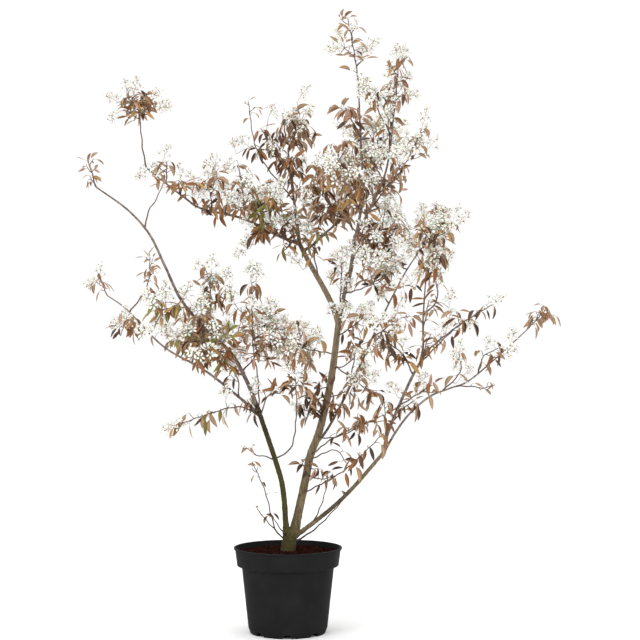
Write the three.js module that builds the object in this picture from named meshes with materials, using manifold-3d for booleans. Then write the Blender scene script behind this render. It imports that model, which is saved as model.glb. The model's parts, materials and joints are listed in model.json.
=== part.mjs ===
// A young serviceberry in blossom, growing as several stems from one stump in a round nursery pot.
// Millimetres, +Z up. The origin is the centre of the pot's flat underside.
import * as THREE from 'three';
import { mergeVertices } from 'three/addons/utils/BufferGeometryUtils.js';
import Module from 'manifold-3d';

const wasm = await Module();
wasm.setup();
const { Manifold, Mesh } = wasm;

// Clearance that touching pieces keep from each other.
const GAP = 0.3;

// Pot: a ten litre container, 280 mm across the lip and 220 mm tall.
const POT_HEIGHT = 220;
const POT_RADIUS = 140;
const POT_SIDES = 28;
const LIP_HEIGHT = 4;
const LIP_OVERHANG = 3;
const BAND_HEIGHT = 46;
const BAND_TAPER = 5.5;
const BAND_STEP = 12;
const STEP_HEIGHT = 5;
const FOOT_RADIUS = 97;
const FOOT_CHAMFER_WIDTH = 5.5;
const FOOT_CHAMFER_HEIGHT = 14;
const WALL = 2.6;
const FLOOR = 3;
const FOOT_RING_WIDTH = 9;
const RAISED_FLOOR = 8;
const CENTRE_DISC_RADIUS = 40;
const DRAIN_COUNT = 8;
const DRAIN_WIDTH = 24;
const DRAIN_HEIGHT = 9.5;
const DRAIN_ROUNDING = 4;

// Soil: filled to about 10 mm under the lip, and level where the stump stands.
const SOIL_LEVEL = 210;
const SOIL_FALL = 4;
const SOIL_SEAT_RADIUS = 32;

// Stump: from a flat cut on the soil, through its flare, to where the stems part.
const STUMP_FOOT = [0, 0, SOIL_LEVEL + GAP];
const STUMP_TOP = [7, 0, 266];
const STUMP_RADIUS = 17;
const STUMP_FLARE = 3.5;
const STUMP_LOBES = 4;

// Limbs over this radius get eight sides, and a step is about this long.
const THICK_LIMB = 4;
const LIMB_STEP = 70;

// Foliage: leaves larger than life in rosettes round a hub, and one star of blossom for each raceme.
const LEAF_LENGTH = 52;
const LEAF_WIDTH = 23;
const LEAF_BELLY = 0.45;
const LEAVES_PER_TUFT = 5;
const LEAF_HANG = 0.5;
const HANG_SPREAD = 0.5;
const HUB_RADIUS = 4;
const HUB_DEPTH = 5;
const BLOSSOM_RADIUS = 21;
const BLOSSOM_WAIST = 8;
const BLOSSOM_DEPTH = 8;
const BLOSSOM_CUP = 0.25;
const PETALS = 5;
const STALK_LENGTH = 30;
const BLOOM_SHARE = 0.5;

// Sprays: twigs leave the stem by the golden angle, lean out by TWIG_SPREAD and rise a little.
const GOLDEN_ANGLE = THREE.MathUtils.degToRad(137.5);
const TWIG_SPREAD = THREE.MathUtils.degToRad(58);
const TWIG_LIFT = 0.18;
const TWIG_RADIUS = 1.1;
const TWIG_TIP_RADIUS = 1.1;
const SHORTEST_TWIG = 16;
const STEM_STEP = 60;
const SPRAY_STEM_RADIUS = 2.7;
const SPRAY_TIP_RADIUS = 2.1;
const SPRAY_CLEARANCE = 1.2;
const SPACE_MARGIN = 1.25;
const OWN_CROWDING = 0.8;
const TRIES = 4;
const NEIGHBOUR_REACH = 40;
const FEWEST_LEAVES = 3;

const COLOURS = {
  pot: 0x232324,
  soil: 0x2a1510,
  bark: 0x6b5f4e,
  youngBark: 0x7d6c63,
  foliage: 0x9a6f5c,
};

// Each limb leaves its host at a share of the host's length, or starts at a place of its own on the
// stump, runs through a few places and tapers from its first radius to its last.
const LIMBS = [
  { name: 'left_stem', start: [-4, -3, 258], radii: [7.5, 6],
    route: [[-13, -15, 374], [-34, -33, 454], [-72, -60, 571]] },
  { name: 'main_stem', start: [16, 2, 258], radii: [11.5, 8],
    route: [[45, 20, 392], [58, 30, 455], [83, 42, 523], [113, 54, 658], [132, 60, 802]] },
  { name: 'right_stem', start: [6, -2, 238], radii: [6.2, 4.6],
    route: [[102, -23, 314], [165, -48, 376], [245, -90, 473]] },
  { name: 'long_left_bough', on: 'left_stem', at: 1, radii: [5.6, 1.9],
    route: [[-103, -77, 652], [-144, -99, 726], [-206, -124, 786], [-264, -151, 859], [-301, -177, 940],
      [-337, -202, 1018], [-387, -236, 1077], [-461, -260, 1131]] },
  { name: 'low_left_bough', on: 'left_stem', at: 0.97, radii: [3.9, 1.5],
    route: [[-115, -20, 600], [-217, 53, 674], [-334, 112, 738], [-434, 161, 834], [-492, 185, 874]] },
  { name: 'leader', on: 'main_stem', at: 1, radii: [5.6, 1.6],
    route: [[146, 48, 873], [167, 35, 952], [178, 23, 1032], [192, 15, 1112], [194, 11, 1185],
      [189, 7, 1267], [182, 0, 1430]] },
  { name: 'upper_left_fork', on: 'main_stem', at: 1, radii: [7.6, 6],
    route: [[111, 76, 857], [82, 101, 912], [55, 138, 960], [28, 170, 1013]] },
  { name: 'upper_left_bough', on: 'upper_left_fork', at: 1, radii: [4.4, 1.9],
    route: [[-24, 153, 1032], [-122, 119, 1078], [-227, 80, 1101], [-275, 59, 1131], [-368, 20, 1203]] },
  { name: 'back_left_bough', on: 'upper_left_fork', at: 1, radii: [4.6, 2.2],
    route: [[18, 200, 1093], [4, 230, 1190], [-5, 260, 1276]] },
  { name: 'upper_right_bough', on: 'leader', at: 0.2, radii: [4, 1.8],
    route: [[179, 10, 1026], [247, -100, 1175], [270, -150, 1340]] },
  { name: 'right_slanting_bough', on: 'main_stem', at: 0.4, radii: [3.6, 1.9],
    route: [[110, 74, 532], [179, 142, 662], [243, 204, 798], [313, 267, 930], [356, 310, 995]] },
  { name: 'right_bough', on: 'right_stem', at: 1, radii: [4.2, 3.2],
    route: [[256, -109, 528], [304, -150, 647], [333, -170, 705]] },
  { name: 'right_upright', on: 'right_bough', at: 1, radii: [2.8, 1.8],
    route: [[339, -177, 746], [338, -187, 808], [343, -200, 897]] },
  { name: 'long_right_bough', on: 'right_stem', at: 1, radii: [3.1, 1.4],
    route: [[277, -62, 523], [315, -34, 569], [369, -3, 611], [422, 27, 630], [478, 51, 652],
      [582, 84, 738], [636, 100, 786]] },
];

// Each spray of foliage leaves its host as a limb does and runs through its route to its tip. Its stem is
// bare for the first share, bears that many twigs after it, and a spray reaches as far out as its girth.
// Where a row says nothing else, its leaves hang by LEAF_HANG below the level of their rosette.
const SPRAYS = [
  { name: 'leader_spray', on: 'leader', at: 1, bare: 0.1, twigs: 6, girth: 68, hang: 0.1,
    route: [[171, -5, 1501], [155, -10, 1588]] },
  { name: 'leader_left_spray', on: 'leader', at: 0.77, bare: 0.3, twigs: 2, girth: 55,
    route: [[148, -60, 1350]] },
  { name: 'leader_right_spray', on: 'leader', at: 0.58, bare: 0.1, twigs: 7, girth: 95,
    route: [[238, 60, 1285]] },
  { name: 'upper_right_spray', on: 'upper_right_bough', at: 1, bare: 0, twigs: 6, girth: 75,
    route: [[280, -160, 1462]] },
  { name: 'upper_right_shoulder', on: 'upper_right_bough', at: 0.5, bare: 0.15, twigs: 6, girth: 70,
    route: [[285, -160, 1180], [335, -190, 1280]] },
  { name: 'crown_front', on: 'leader', at: 0.5, bare: 0.15, twigs: 7, girth: 105,
    route: [[130, -170, 1210]] },
  { name: 'crown_back', on: 'upper_left_fork', at: 0.9, bare: 0.35, twigs: 7, girth: 105,
    route: [[78, 170, 1024], [143, 250, 1104], [172, 330, 1270]] },
  { name: 'crown_middle', on: 'leader', at: 0.38, bare: 0.15, twigs: 8, girth: 110,
    route: [[60, 45, 1165]] },
  { name: 'top_left_spray', on: 'back_left_bough', at: 1, bare: 0, twigs: 6, girth: 90,
    route: [[30, 280, 1350]] },
  { name: 'top_left_middle', on: 'back_left_bough', at: 0.75, bare: 0.1, twigs: 6, girth: 90,
    route: [[-62, 190, 1315]] },
  { name: 'top_left_outer', on: 'back_left_bough', at: 0.45, bare: 0.45, twigs: 4, girth: 60,
    route: [[-84, 180, 1260], [-112, 190, 1400]] },
  { name: 'upper_left_front', on: 'upper_left_bough', at: 0.2, bare: 0, twigs: 7, girth: 105,
    route: [[-90, 10, 1130]] },
  { name: 'upper_left_back', on: 'upper_left_bough', at: 0.35, bare: 0, twigs: 6, girth: 90,
    route: [[-130, 200, 1190]] },
  { name: 'upper_left_middle', on: 'upper_left_bough', at: 0.55, bare: 0, twigs: 5, girth: 85,
    route: [[-205, 20, 1172]] },
  { name: 'upper_left_end', on: 'upper_left_bough', at: 0.86, bare: 0.1, twigs: 3, girth: 60,
    route: [[-310, -40, 1215]] },
  { name: 'far_left_tuft', on: 'upper_left_bough', at: 1, bare: 0.62, twigs: 6, girth: 95,
    route: [[-377, 10, 1249], [-381, 0, 1300], [-388, -10, 1370]] },
  { name: 'long_left_end', on: 'long_left_bough', at: 1, bare: 0, twigs: 2, girth: 55, hang: 0.2,
    route: [[-479, -270, 1195]] },
  { name: 'left_small_tuft', on: 'low_left_bough', at: 0.86, bare: 0.6, twigs: 1, girth: 45,
    route: [[-396, 140, 870], [-374, 130, 915], [-369, 110, 975]] },
  { name: 'low_left_end', on: 'low_left_bough', at: 1, bare: 0, twigs: 2, girth: 50,
    route: [[-518, 190, 935]] },
  { name: 'low_left_spray', on: 'low_left_bough', at: 0.75, bare: 0.2, twigs: 3, girth: 60,
    route: [[-445, 60, 790]] },
  { name: 'left_front', on: 'long_left_bough', at: 0.47, bare: 0.1, twigs: 4, girth: 85,
    route: [[-325, -240, 830]] },
  { name: 'left_under', on: 'long_left_bough', at: 0.22, bare: 0.1, twigs: 6, girth: 100,
    route: [[-230, -190, 760]] },
  { name: 'left_top', on: 'left_stem', at: 1, bare: 0.45, twigs: 5, girth: 85,
    route: [[-75, -80, 663], [-86, -110, 742], [-87, -150, 900]] },
  { name: 'left_middle', on: 'long_left_bough', at: 0.34, bare: 0.1, twigs: 6, girth: 95,
    route: [[-198, -50, 920]] },
  { name: 'left_inner', on: 'long_left_bough', at: 0.16, bare: 0.25, twigs: 5, girth: 90,
    route: [[-25, -30, 780]] },
  { name: 'left_back', on: 'low_left_bough', at: 0.45, bare: 0.15, twigs: 6, girth: 100,
    route: [[-240, 160, 780]] },
  { name: 'centre_left', on: 'left_stem', at: 0.6, bare: 0.42, twigs: 6, girth: 80,
    route: [[12, -80, 490], [24, -130, 595], [20, -170, 714], [41, -200, 780]] },
  { name: 'centre_back', on: 'main_stem', at: 0.85, bare: 0.4, twigs: 4, girth: 80,
    route: [[-12, 200, 740]] },
  { name: 'low_left_outer', on: 'left_stem', at: 0.97, bare: 0.35, twigs: 4, girth: 50,
    route: [[-131, -120, 589], [-270, -210, 550]] },
  { name: 'right_back', on: 'right_slanting_bough', at: 1, bare: 0, twigs: 6, girth: 100,
    route: [[430, 350, 1075]] },
  { name: 'right_top', on: 'upper_right_bough', at: 0.26, bare: 0.2, twigs: 6, girth: 95,
    route: [[235, -35, 1040], [288, -60, 1066]] },
  { name: 'mid_right', on: 'leader', at: 0.12, bare: 0.55, twigs: 3, girth: 70,
    route: [[201, -40, 893], [255, -110, 925]] },
  { name: 'right_upright_spray', on: 'right_upright', at: 1, bare: 0, twigs: 5, girth: 85,
    route: [[370, -230, 1020]] },
  { name: 'right_middle', on: 'right_slanting_bough', at: 0.45, bare: 0.2, twigs: 4, girth: 80,
    route: [[273, 90, 810]] },
  { name: 'right_inner', on: 'right_bough', at: 0.85, bare: 0.3, twigs: 3, girth: 60,
    route: [[281, -190, 729], [225, -220, 768]] },
  { name: 'right_end', on: 'right_bough', at: 1, bare: 0.35, twigs: 4, girth: 55,
    route: [[368, -220, 752], [444, -300, 813], [495, -330, 845]] },
  { name: 'far_right_tuft', on: 'long_right_bough', at: 1, bare: 0.2, twigs: 4, girth: 55, hang: 0.1,
    route: [[686, 110, 838]] },
  { name: 'far_right_spray', on: 'long_right_bough', at: 0.66, bare: 0.3, twigs: 3, girth: 60,
    route: [[545, 20, 775]] },
  { name: 'right_low', on: 'right_bough', at: 0.5, bare: 0.4, twigs: 2, girth: 55,
    route: [[359, -210, 648]] },
  { name: 'low_centre', on: 'main_stem', at: 0.8, bare: 0.3, twigs: 4, girth: 65,
    route: [[222, 130, 612]] },
  { name: 'low_right', on: 'main_stem', at: 0.45, bare: 0.35, twigs: 4, girth: 55,
    route: [[134, -30, 510], [244, -110, 568]] },
  { name: 'low_front', on: 'main_stem', at: 0.18, bare: 0.5, twigs: 2, girth: 45,
    route: [[146, -100, 429], [240, -200, 528]] },
  { name: 'base_left', on: 'stump', at: 0.4, bare: 0.6, twigs: 1, girth: 35,
    route: [[-32, -16, 268], [-58, -30, 366], [-90, -55, 445]] },
];

const ORIGIN = new THREE.Vector3(0, 0, 0);
const RIGHT = new THREE.Vector3(1, 0, 0);
const BACK = new THREE.Vector3(0, 1, 0);
const UP = new THREE.Vector3(0, 0, 1);
const vector = (place) => new THREE.Vector3(...place);

// Seeded numbers from 0 to 1, so that every run grows the same plant.
function seeded(seed) {
  let state = seed >>> 0;
  return () => {
    state = (Math.imul(state, 1664525) + 1013904223) >>> 0;
    return state / 4294967296;
  };
}

// A solid from a closed geometry, and back to a geometry for the scene graph.
function solid(geometry) {
  geometry.deleteAttribute('normal');
  geometry.deleteAttribute('uv');
  const merged = mergeVertices(geometry);
  const corners = merged.index.array;
  const triangles = [];
  for (let i = 0; i < corners.length; i += 3) {
    const [a, b, c] = corners.slice(i, i + 3);
    if (a !== b && b !== c && c !== a) triangles.push(a, b, c);
  }
  return new Manifold(new Mesh({
    numProp: 3,
    vertProperties: Float32Array.from(merged.attributes.position.array),
    triVerts: Uint32Array.from(triangles),
  }));
}

function geometryOf(shape) {
  const mesh = shape.getMesh();
  const geometry = new THREE.BufferGeometry();
  geometry.setAttribute('position', new THREE.BufferAttribute(Float32Array.from(mesh.vertProperties), 3));
  geometry.setIndex(new THREE.BufferAttribute(Uint32Array.from(mesh.triVerts), 1));
  geometry.computeVertexNormals();
  return geometry;
}

// The largest body of a shape: loose scraps are dropped and sealed hollows filled.
function largestBody(shape) {
  const bodies = shape.decompose();
  return bodies.reduce((best, body) => (body.volume() > best.volume() ? body : best));
}

// A closed skin over rings of points: a cylinder whose vertices are moved to them. All rings have as many
// points, counter-clockwise as seen from the last ring, and points that fall together are merged.
function skin(rings, foot, head) {
  const sides = rings[0].length;
  const steps = rings.length - 1;
  const geometry = new THREE.CylinderGeometry(1, 1, 1, sides, steps);
  const position = geometry.attributes.position;
  for (let i = 0; i < position.count; i += 1) {
    const x = position.getX(i);
    const z = position.getZ(i);
    const ring = Math.round((position.getY(i) + 0.5) * steps);
    const turn = Math.round(Math.atan2(x, z) / (2 * Math.PI) * sides + sides) % sides;
    const middle = ring === 0 ? foot : head;
    const point = Math.hypot(x, z) < 0.5 ? middle : rings[ring][turn];
    position.setXYZ(i, point.x, point.y, point.z);
  }
  return solid(geometry);
}

// Two directions square to an axis, so that turning from the first to the second is counter-clockwise.
function sideAndFront(axis) {
  const aside = Math.abs(axis.y) > 0.97 ? UP : BACK;
  const side = new THREE.Vector3().crossVectors(axis, aside).normalize();
  return [side, new THREE.Vector3().crossVectors(axis, side)];
}

// The point at an angle and a radius round an axis.
function around(centre, axis, angle, radius) {
  const [side, front] = sideAndFront(axis);
  return centre.clone().addScaledVector(side, radius * Math.cos(angle))
    .addScaledVector(front, radius * Math.sin(angle));
}

// Rings along a curve, carried by its frames, or level where they are to lie flat. The radius is a function
// of the share along the curve and of the angle, and the end rings can be moved outwards by an overrun.
function ringsAlong(curve, radiusAt, sides, steps, overrun, level) {
  const frames = level ? levelFrames(steps) : curve.computeFrenetFrames(steps, false);
  const rings = [];
  for (let i = 0; i <= steps; i += 1) {
    const shift = i === 0 ? -overrun : (i === steps ? overrun : 0);
    const centre = curve.getPointAt(i / steps).addScaledVector(frames.tangents[i], shift);
    const ring = [];
    for (let k = 0; k < sides; k += 1) {
      const angle = 2 * Math.PI * k / sides;
      const radius = radiusAt(i / steps, angle);
      ring.push(centre.clone().addScaledVector(frames.normals[i], radius * Math.cos(angle))
        .addScaledVector(frames.binormals[i], radius * Math.sin(angle)));
    }
    rings.push(ring);
  }
  return rings;
}

function levelFrames(steps) {
  const repeat = (direction) => new Array(steps + 1).fill(direction);
  return { tangents: repeat(UP), normals: repeat(RIGHT), binormals: repeat(BACK) };
}

function bentCylinder(curve, radiusAt, { sides, steps, level = false }, overrun = 0) {
  const rings = ringsAlong(curve, radiusAt, sides, steps, overrun, level);
  return skin(rings, middleOf(rings[0]), middleOf(rings[steps]));
}

function middleOf(ring) {
  return ring.reduce((sum, point) => sum.add(point), new THREE.Vector3()).divideScalar(ring.length);
}

const smoothCurve = (places) => new THREE.CatmullRomCurve3(places, false, 'catmullrom', 0.5);

// Everything that a twig or leaf has to stay clear of, kept as round-ended bars that belong to one piece.
const bars = [];

function addBars(owner, curve, radiusAt) {
  const count = Math.max(1, Math.ceil(curve.getLength() / 25));
  for (let i = 0; i < count; i += 1) {
    const from = curve.getPointAt(i / count);
    const to = curve.getPointAt((i + 1) / count);
    bars.push({ owner, from, to, radius: radiusAt(i / count, 0) });
  }
}

// Shortest way between two straight bars.
function barDistance(a, b) {
  const u = a.to.clone().sub(a.from);
  const v = b.to.clone().sub(b.from);
  const w = a.from.clone().sub(b.from);
  const uu = u.dot(u);
  const uv = u.dot(v);
  const vv = v.dot(v);
  const uw = u.dot(w);
  const vw = v.dot(w);
  const spread = uu * vv - uv * uv;
  const clamp = (value) => Math.min(1, Math.max(0, value));
  let s = spread > 1e-9 ? clamp((uv * vw - vv * uw) / spread) : 0;
  const t = clamp((uv * s + vw) / vv);
  s = clamp((uv * t - uw) / uu);
  return a.from.clone().addScaledVector(u, s).distanceTo(b.from.clone().addScaledVector(v, t));
}

// Pieces of one tuft may meet. Others of the same spray may come near, and other nodes keep clear.
function isClear(bar) {
  return bars.every((other) => {
    if (other.tuft !== undefined && other.tuft === bar.tuft) return true;
    const share = other.owner === bar.owner ? OWN_CROWDING : 1;
    return barDistance(bar, other) > (bar.radius + other.radius) * share + SPRAY_CLEARANCE;
  });
}

// Pot: one turned profile, with a collar under the lip and a raised floor behind the foot ring.
function buildPot() {
  const stepTop = POT_HEIGHT - BAND_HEIGHT;
  const stepBottom = stepTop - STEP_HEIGHT;
  const bandTop = POT_RADIUS - LIP_OVERHANG;
  const bandBottom = bandTop - BAND_TAPER;
  const bodyTop = bandBottom - BAND_STEP;
  const footTop = FOOT_RADIUS + FOOT_CHAMFER_WIDTH;
  const ringInner = FOOT_RADIUS - FOOT_RING_WIDTH;
  const discEdge = CENTRE_DISC_RADIUS + FLOOR;
  const profile = [
    [0, 0], [CENTRE_DISC_RADIUS, 0], [discEdge, RAISED_FLOOR], [ringInner - FLOOR, RAISED_FLOOR],
    [ringInner, 0], [FOOT_RADIUS, 0], [footTop, FOOT_CHAMFER_HEIGHT], [bodyTop, stepBottom],
    [bandBottom, stepTop], [bandTop, POT_HEIGHT - LIP_HEIGHT], [POT_RADIUS, POT_HEIGHT - LIP_HEIGHT],
    [POT_RADIUS, POT_HEIGHT], [bandTop - WALL, POT_HEIGHT], [bandBottom - WALL, stepTop],
    [bodyTop - WALL, stepBottom], [footTop - WALL, FOOT_CHAMFER_HEIGHT], [FOOT_RADIUS - 1, FLOOR],
    [ringInner + 1, FLOOR], [ringInner - FLOOR + 1, RAISED_FLOOR + FLOOR],
    [discEdge - 1, RAISED_FLOOR + FLOOR], [CENTRE_DISC_RADIUS - 1, FLOOR], [0, FLOOR],
  ];
  let pot = solid(lathe(profile));
  for (let i = 0; i < DRAIN_COUNT; i += 1) {
    pot = pot.subtract(drainCutter(2 * Math.PI * i / DRAIN_COUNT));
  }
  return largestBody(pot);
}

function lathe(profile) {
  const points = profile.map(([radius, height]) => new THREE.Vector2(radius, height));
  return new THREE.LatheGeometry(points, POT_SIDES).rotateX(Math.PI / 2);
}

// A drain slot through the foot: an arched prism that points outwards, the first towards the front.
function drainCutter(angle) {
  const half = DRAIN_WIDTH / 2;
  const arch = new THREE.Shape([
    new THREE.Vector2(-half, -1), new THREE.Vector2(half, -1),
    new THREE.Vector2(half - 1, DRAIN_HEIGHT - DRAIN_ROUNDING),
    new THREE.Vector2(half - DRAIN_ROUNDING, DRAIN_HEIGHT),
    new THREE.Vector2(DRAIN_ROUNDING - half, DRAIN_HEIGHT),
    new THREE.Vector2(1 - half, DRAIN_HEIGHT - DRAIN_ROUNDING),
  ]);
  const inner = FOOT_RADIUS - FOOT_RING_WIDTH - 2 * FLOOR;
  const geometry = new THREE.ExtrudeGeometry(arch, { depth: POT_RADIUS - inner, bevelEnabled: false });
  geometry.rotateX(Math.PI / 2);
  geometry.translate(0, -inner, 0);
  geometry.rotateZ(angle);
  return solid(geometry);
}

// Soil: fills the pot a clearance inside its walls, up to a low mound.
function buildSoil() {
  const stepTop = POT_HEIGHT - BAND_HEIGHT;
  const stepBottom = stepTop - STEP_HEIGHT;
  const inset = WALL + 2 * GAP;
  const bandTop = POT_RADIUS - LIP_OVERHANG - inset;
  const bandBottom = bandTop - BAND_TAPER;
  const bodyTop = bandBottom - BAND_STEP;
  const footTop = FOOT_RADIUS + FOOT_CHAMFER_WIDTH - inset;
  const edgeLevel = SOIL_LEVEL - SOIL_FALL;
  const edgeShare = (edgeLevel - stepTop) / (POT_HEIGHT - LIP_HEIGHT - stepTop);
  const edgeRadius = bandBottom + BAND_TAPER * edgeShare;
  const base = RAISED_FLOOR + FLOOR + GAP;
  const profile = [
    [0, base], [footTop - 2, base], [footTop, FOOT_CHAMFER_HEIGHT], [bodyTop, stepBottom],
    [bandBottom, stepTop + GAP], [edgeRadius, edgeLevel],
    [(edgeRadius + SOIL_SEAT_RADIUS) / 2, SOIL_LEVEL - 1], [SOIL_SEAT_RADIUS, SOIL_LEVEL], [0, SOIL_LEVEL],
  ];
  return solid(lathe(profile));
}

// Stump: flared in lobes at the soil and swelling a little again where the stems part.
function stumpRadius(share, angle) {
  const flare = STUMP_FLARE * (1 - share) ** 4 * (1 + 0.5 * Math.cos(STUMP_LOBES * angle));
  return STUMP_RADIUS + flare + 1.5 * share ** 3;
}

// Limbs by name, each with its curve, its radius and its solid.
const limbs = new Map();

function addLimb(name, curve, radiusAt, facets) {
  const grown = bentCylinder(curve, (share, angle) => radiusAt(share, angle) + GAP, facets, GAP);
  let shape = bentCylinder(curve, radiusAt, facets);
  for (const other of limbs.values()) {
    shape = shape.subtract(other.grown);
  }
  limbs.set(name, { curve, radiusAt, shape: largestBody(shape), grown });
  addBars(name, curve, radiusAt);
}

function taper([first, last]) {
  return (share) => first + (last - first) * share;
}

function curveFrom({ start, on, at, route }) {
  const host = limbs.get(on);
  const root = start ? vector(start) : host.curve.getPointAt(at);
  if (at === 1) root.addScaledVector(host.curve.getTangentAt(1), 2 * GAP);
  return smoothCurve([root, ...route.map(vector)]);
}

function buildLimbs() {
  const stumpCurve = new THREE.LineCurve3(vector(STUMP_FOOT), vector(STUMP_TOP));
  addLimb('stump', stumpCurve, stumpRadius, { sides: 12, steps: 5, level: true });
  for (const limb of LIMBS) {
    const curve = curveFrom(limb);
    const sides = limb.radii[0] > THICK_LIMB ? 8 : 6;
    const steps = 1 + Math.ceil(curve.getLength() / LIMB_STEP);
    addLimb(limb.name, curve, taper(limb.radii), { sides, steps });
  }
}

// A spray keeps to its own space: every point belongs to the stem that is nearest for its girth.
function inOwnSpace(point, spray) {
  const share = (other) => distanceToPath(point, other.path) / other.girth;
  const own = share(spray);
  return own < SPACE_MARGIN && sprays.every((other) => other === spray || share(other) > own);
}

function distanceToPath(point, path) {
  let nearest = Infinity;
  for (let i = 1; i < path.length; i += 1) {
    const span = new THREE.Line3(path[i - 1], path[i]);
    const foot = span.closestPointToPoint(point, true, new THREE.Vector3());
    nearest = Math.min(nearest, foot.distanceTo(point));
  }
  return nearest;
}

const sprays = [];

function layOutSprays() {
  SPRAYS.forEach((row, index) => {
    const curve = curveFrom(row);
    const radiusAt = taper([SPRAY_STEM_RADIUS, SPRAY_TIP_RADIUS]);
    const bareLength = curve.getLength() * row.bare;
    const path = curve.getSpacedPoints(8).filter((point, i) => i / 8 * curve.getLength() >= bareLength - 1);
    sprays.push({ hang: LEAF_HANG, ...row, seed: 101 + index, curve, radiusAt, path });
    addBars(row.name, curve, radiusAt);
  });
}

// Adds a bar for a new piece if it keeps to its spray's space and clear of every other piece.
function claim(spray, tuft, from, to, radius) {
  const bar = { owner: spray.name, tuft, from, to, radius };
  const free = inOwnSpace(to, spray) && isClear(bar);
  if (free) bars.push(bar);
  return free;
}

// A twig of three sides, as a ring that repeats its corners to have one point for each turn.
function twigRing(centre, axis, turns, radius) {
  return turns.map((turn) => {
    const corner = Math.floor(turn / (2 * Math.PI / 3) + 1e-6);
    return around(centre, axis, (corner + 0.5) * 2 * Math.PI / 3, radius);
  });
}

// One leaf place of a rosette: a notch at the hub, then the leaf's belly and tip if there is room for it.
// Each leaf has eight faces: four over and four under, which meet at its rim.
function leafPlace(spray, tuft, knee, axis, angle, random) {
  const pitch = 2 * Math.PI / LEAVES_PER_TUFT;
  const aim = angle + 0.3 * pitch * (random() - 0.5);
  const hang = spray.hang + HANG_SPREAD * (random() - 0.5);
  const length = LEAF_LENGTH * (0.85 + 0.3 * random());
  const outward = around(ORIGIN, axis, aim, 1);
  const across = new THREE.Vector3().crossVectors(axis, outward).multiplyScalar(LEAF_WIDTH / 2);
  const direction = outward.multiplyScalar(Math.cos(hang)).addScaledVector(axis, -Math.sin(hang));
  const at = (share) => knee.clone().addScaledVector(direction, share * length);
  const rim = [{ turn: angle - pitch / 2, point: around(knee, axis, angle - pitch / 2, HUB_RADIUS) }];
  if (claim(spray, tuft, at(0.35), at(1), LEAF_WIDTH / 2)) {
    rim.push({ turn: aim - pitch / 6, point: at(LEAF_BELLY).sub(across) });
    rim.push({ turn: aim, point: at(1) });
    rim.push({ turn: aim + pitch / 6, point: at(LEAF_BELLY).add(across) });
  }
  return rim;
}

// The head of a twig: a rosette of leaves, and where there is room a stalk of blossom rising out of it.
function tuftHead(spray, tuft, knee, heading, random, blooms) {
  const axis = heading.clone().multiplyScalar(0.5).addScaledVector(UP, 0.85).normalize();
  const rim = [];
  for (let i = 0; i < LEAVES_PER_TUFT; i += 1) {
    rim.push(...leafPlace(spray, tuft, knee, axis, 2 * Math.PI * (i + 0.5) / LEAVES_PER_TUFT, random));
  }
  const turns = rim.map((place) => Math.max(0, place.turn));
  const step = (height) => knee.clone().addScaledVector(axis, height);
  const ring = (height) => twigRing(step(height), axis, turns, TWIG_TIP_RADIUS);
  const rings = [ring(-HUB_DEPTH / 2), rim.map((place) => place.point)];
  let head = step(HUB_DEPTH / 2);
  const petalTips = step(STALK_LENGTH + BLOSSOM_CUP * BLOSSOM_RADIUS);
  const roomy = rim.length >= 2 * PETALS;
  if (blooms && roomy && claim(spray, tuft, step(STALK_LENGTH), petalTips, BLOSSOM_RADIUS)) {
    rings.push(ring(HUB_DEPTH / 2), ring(STALK_LENGTH - BLOSSOM_DEPTH / 2));
    rings.push(blossomRing(step(STALK_LENGTH), axis, rim.length));
    head = step(STALK_LENGTH + BLOSSOM_DEPTH / 2);
  }
  return { turns, rings, head };
}

// A star of petals, cupped a little, as a ring that repeats some points.
function blossomRing(centre, axis, sides) {
  const ring = [];
  for (let i = 0; i < sides; i += 1) {
    const corner = Math.floor(2 * PETALS * i / sides);
    const radius = corner % 2 === 0 ? BLOSSOM_WAIST : BLOSSOM_RADIUS;
    const point = around(centre, axis, Math.PI * corner / PETALS, radius);
    ring.push(point.addScaledVector(axis, BLOSSOM_CUP * radius));
  }
  return ring;
}

// A twig with its head, or nothing where it would leave the spray's space or touch another piece.
function growTwig(spray, tuft, share, azimuth, random) {
  const root = spray.curve.getPointAt(share);
  const tangent = spray.curve.getTangentAt(share);
  const heading = around(ORIGIN, tangent, azimuth, Math.sin(TWIG_SPREAD))
    .addScaledVector(tangent, Math.cos(TWIG_SPREAD)).addScaledVector(UP, TWIG_LIFT).normalize();
  const inSpray = (share - spray.bare) / (1 - spray.bare);
  const fullness = 0.6 + 0.4 * Math.sin(Math.PI * inSpray ** 0.8);
  const reach = spray.girth * fullness * (0.8 + 0.3 * random());
  const along = (length) => root.clone().addScaledVector(heading, length);
  const knee = along(Math.max(SHORTEST_TWIG, reach - LEAF_LENGTH / 2));
  const blooms = random() < BLOOM_SHARE;
  const headRandom = seeded(Math.floor(random() * 1e9));
  const before = bars.length;
  if (!claim(spray, tuft, along(SHORTEST_TWIG / 2), knee, TWIG_RADIUS)) return null;
  const { turns, rings, head } = tuftHead(spray, tuft, knee, heading, headRandom, blooms);
  if (turns.length < LEAVES_PER_TUFT + 3 * FEWEST_LEAVES) {
    bars.length = before;
    return null;
  }
  return skin([twigRing(root, heading, turns, TWIG_RADIUS), ...rings], root, head);
}

// Cuts a spray's stem a clearance away from its host and from the limbs that start beside it.
function cutClear(stem, spray) {
  const root = spray.curve.getPointAt(0);
  let shape = stem.subtract(limbs.get(spray.on).grown);
  for (const limb of limbs.values()) {
    if (limb.curve.getPointAt(0).distanceTo(root) < NEIGHBOUR_REACH) shape = shape.subtract(limb.grown);
  }
  return largestBody(shape);
}

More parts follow.
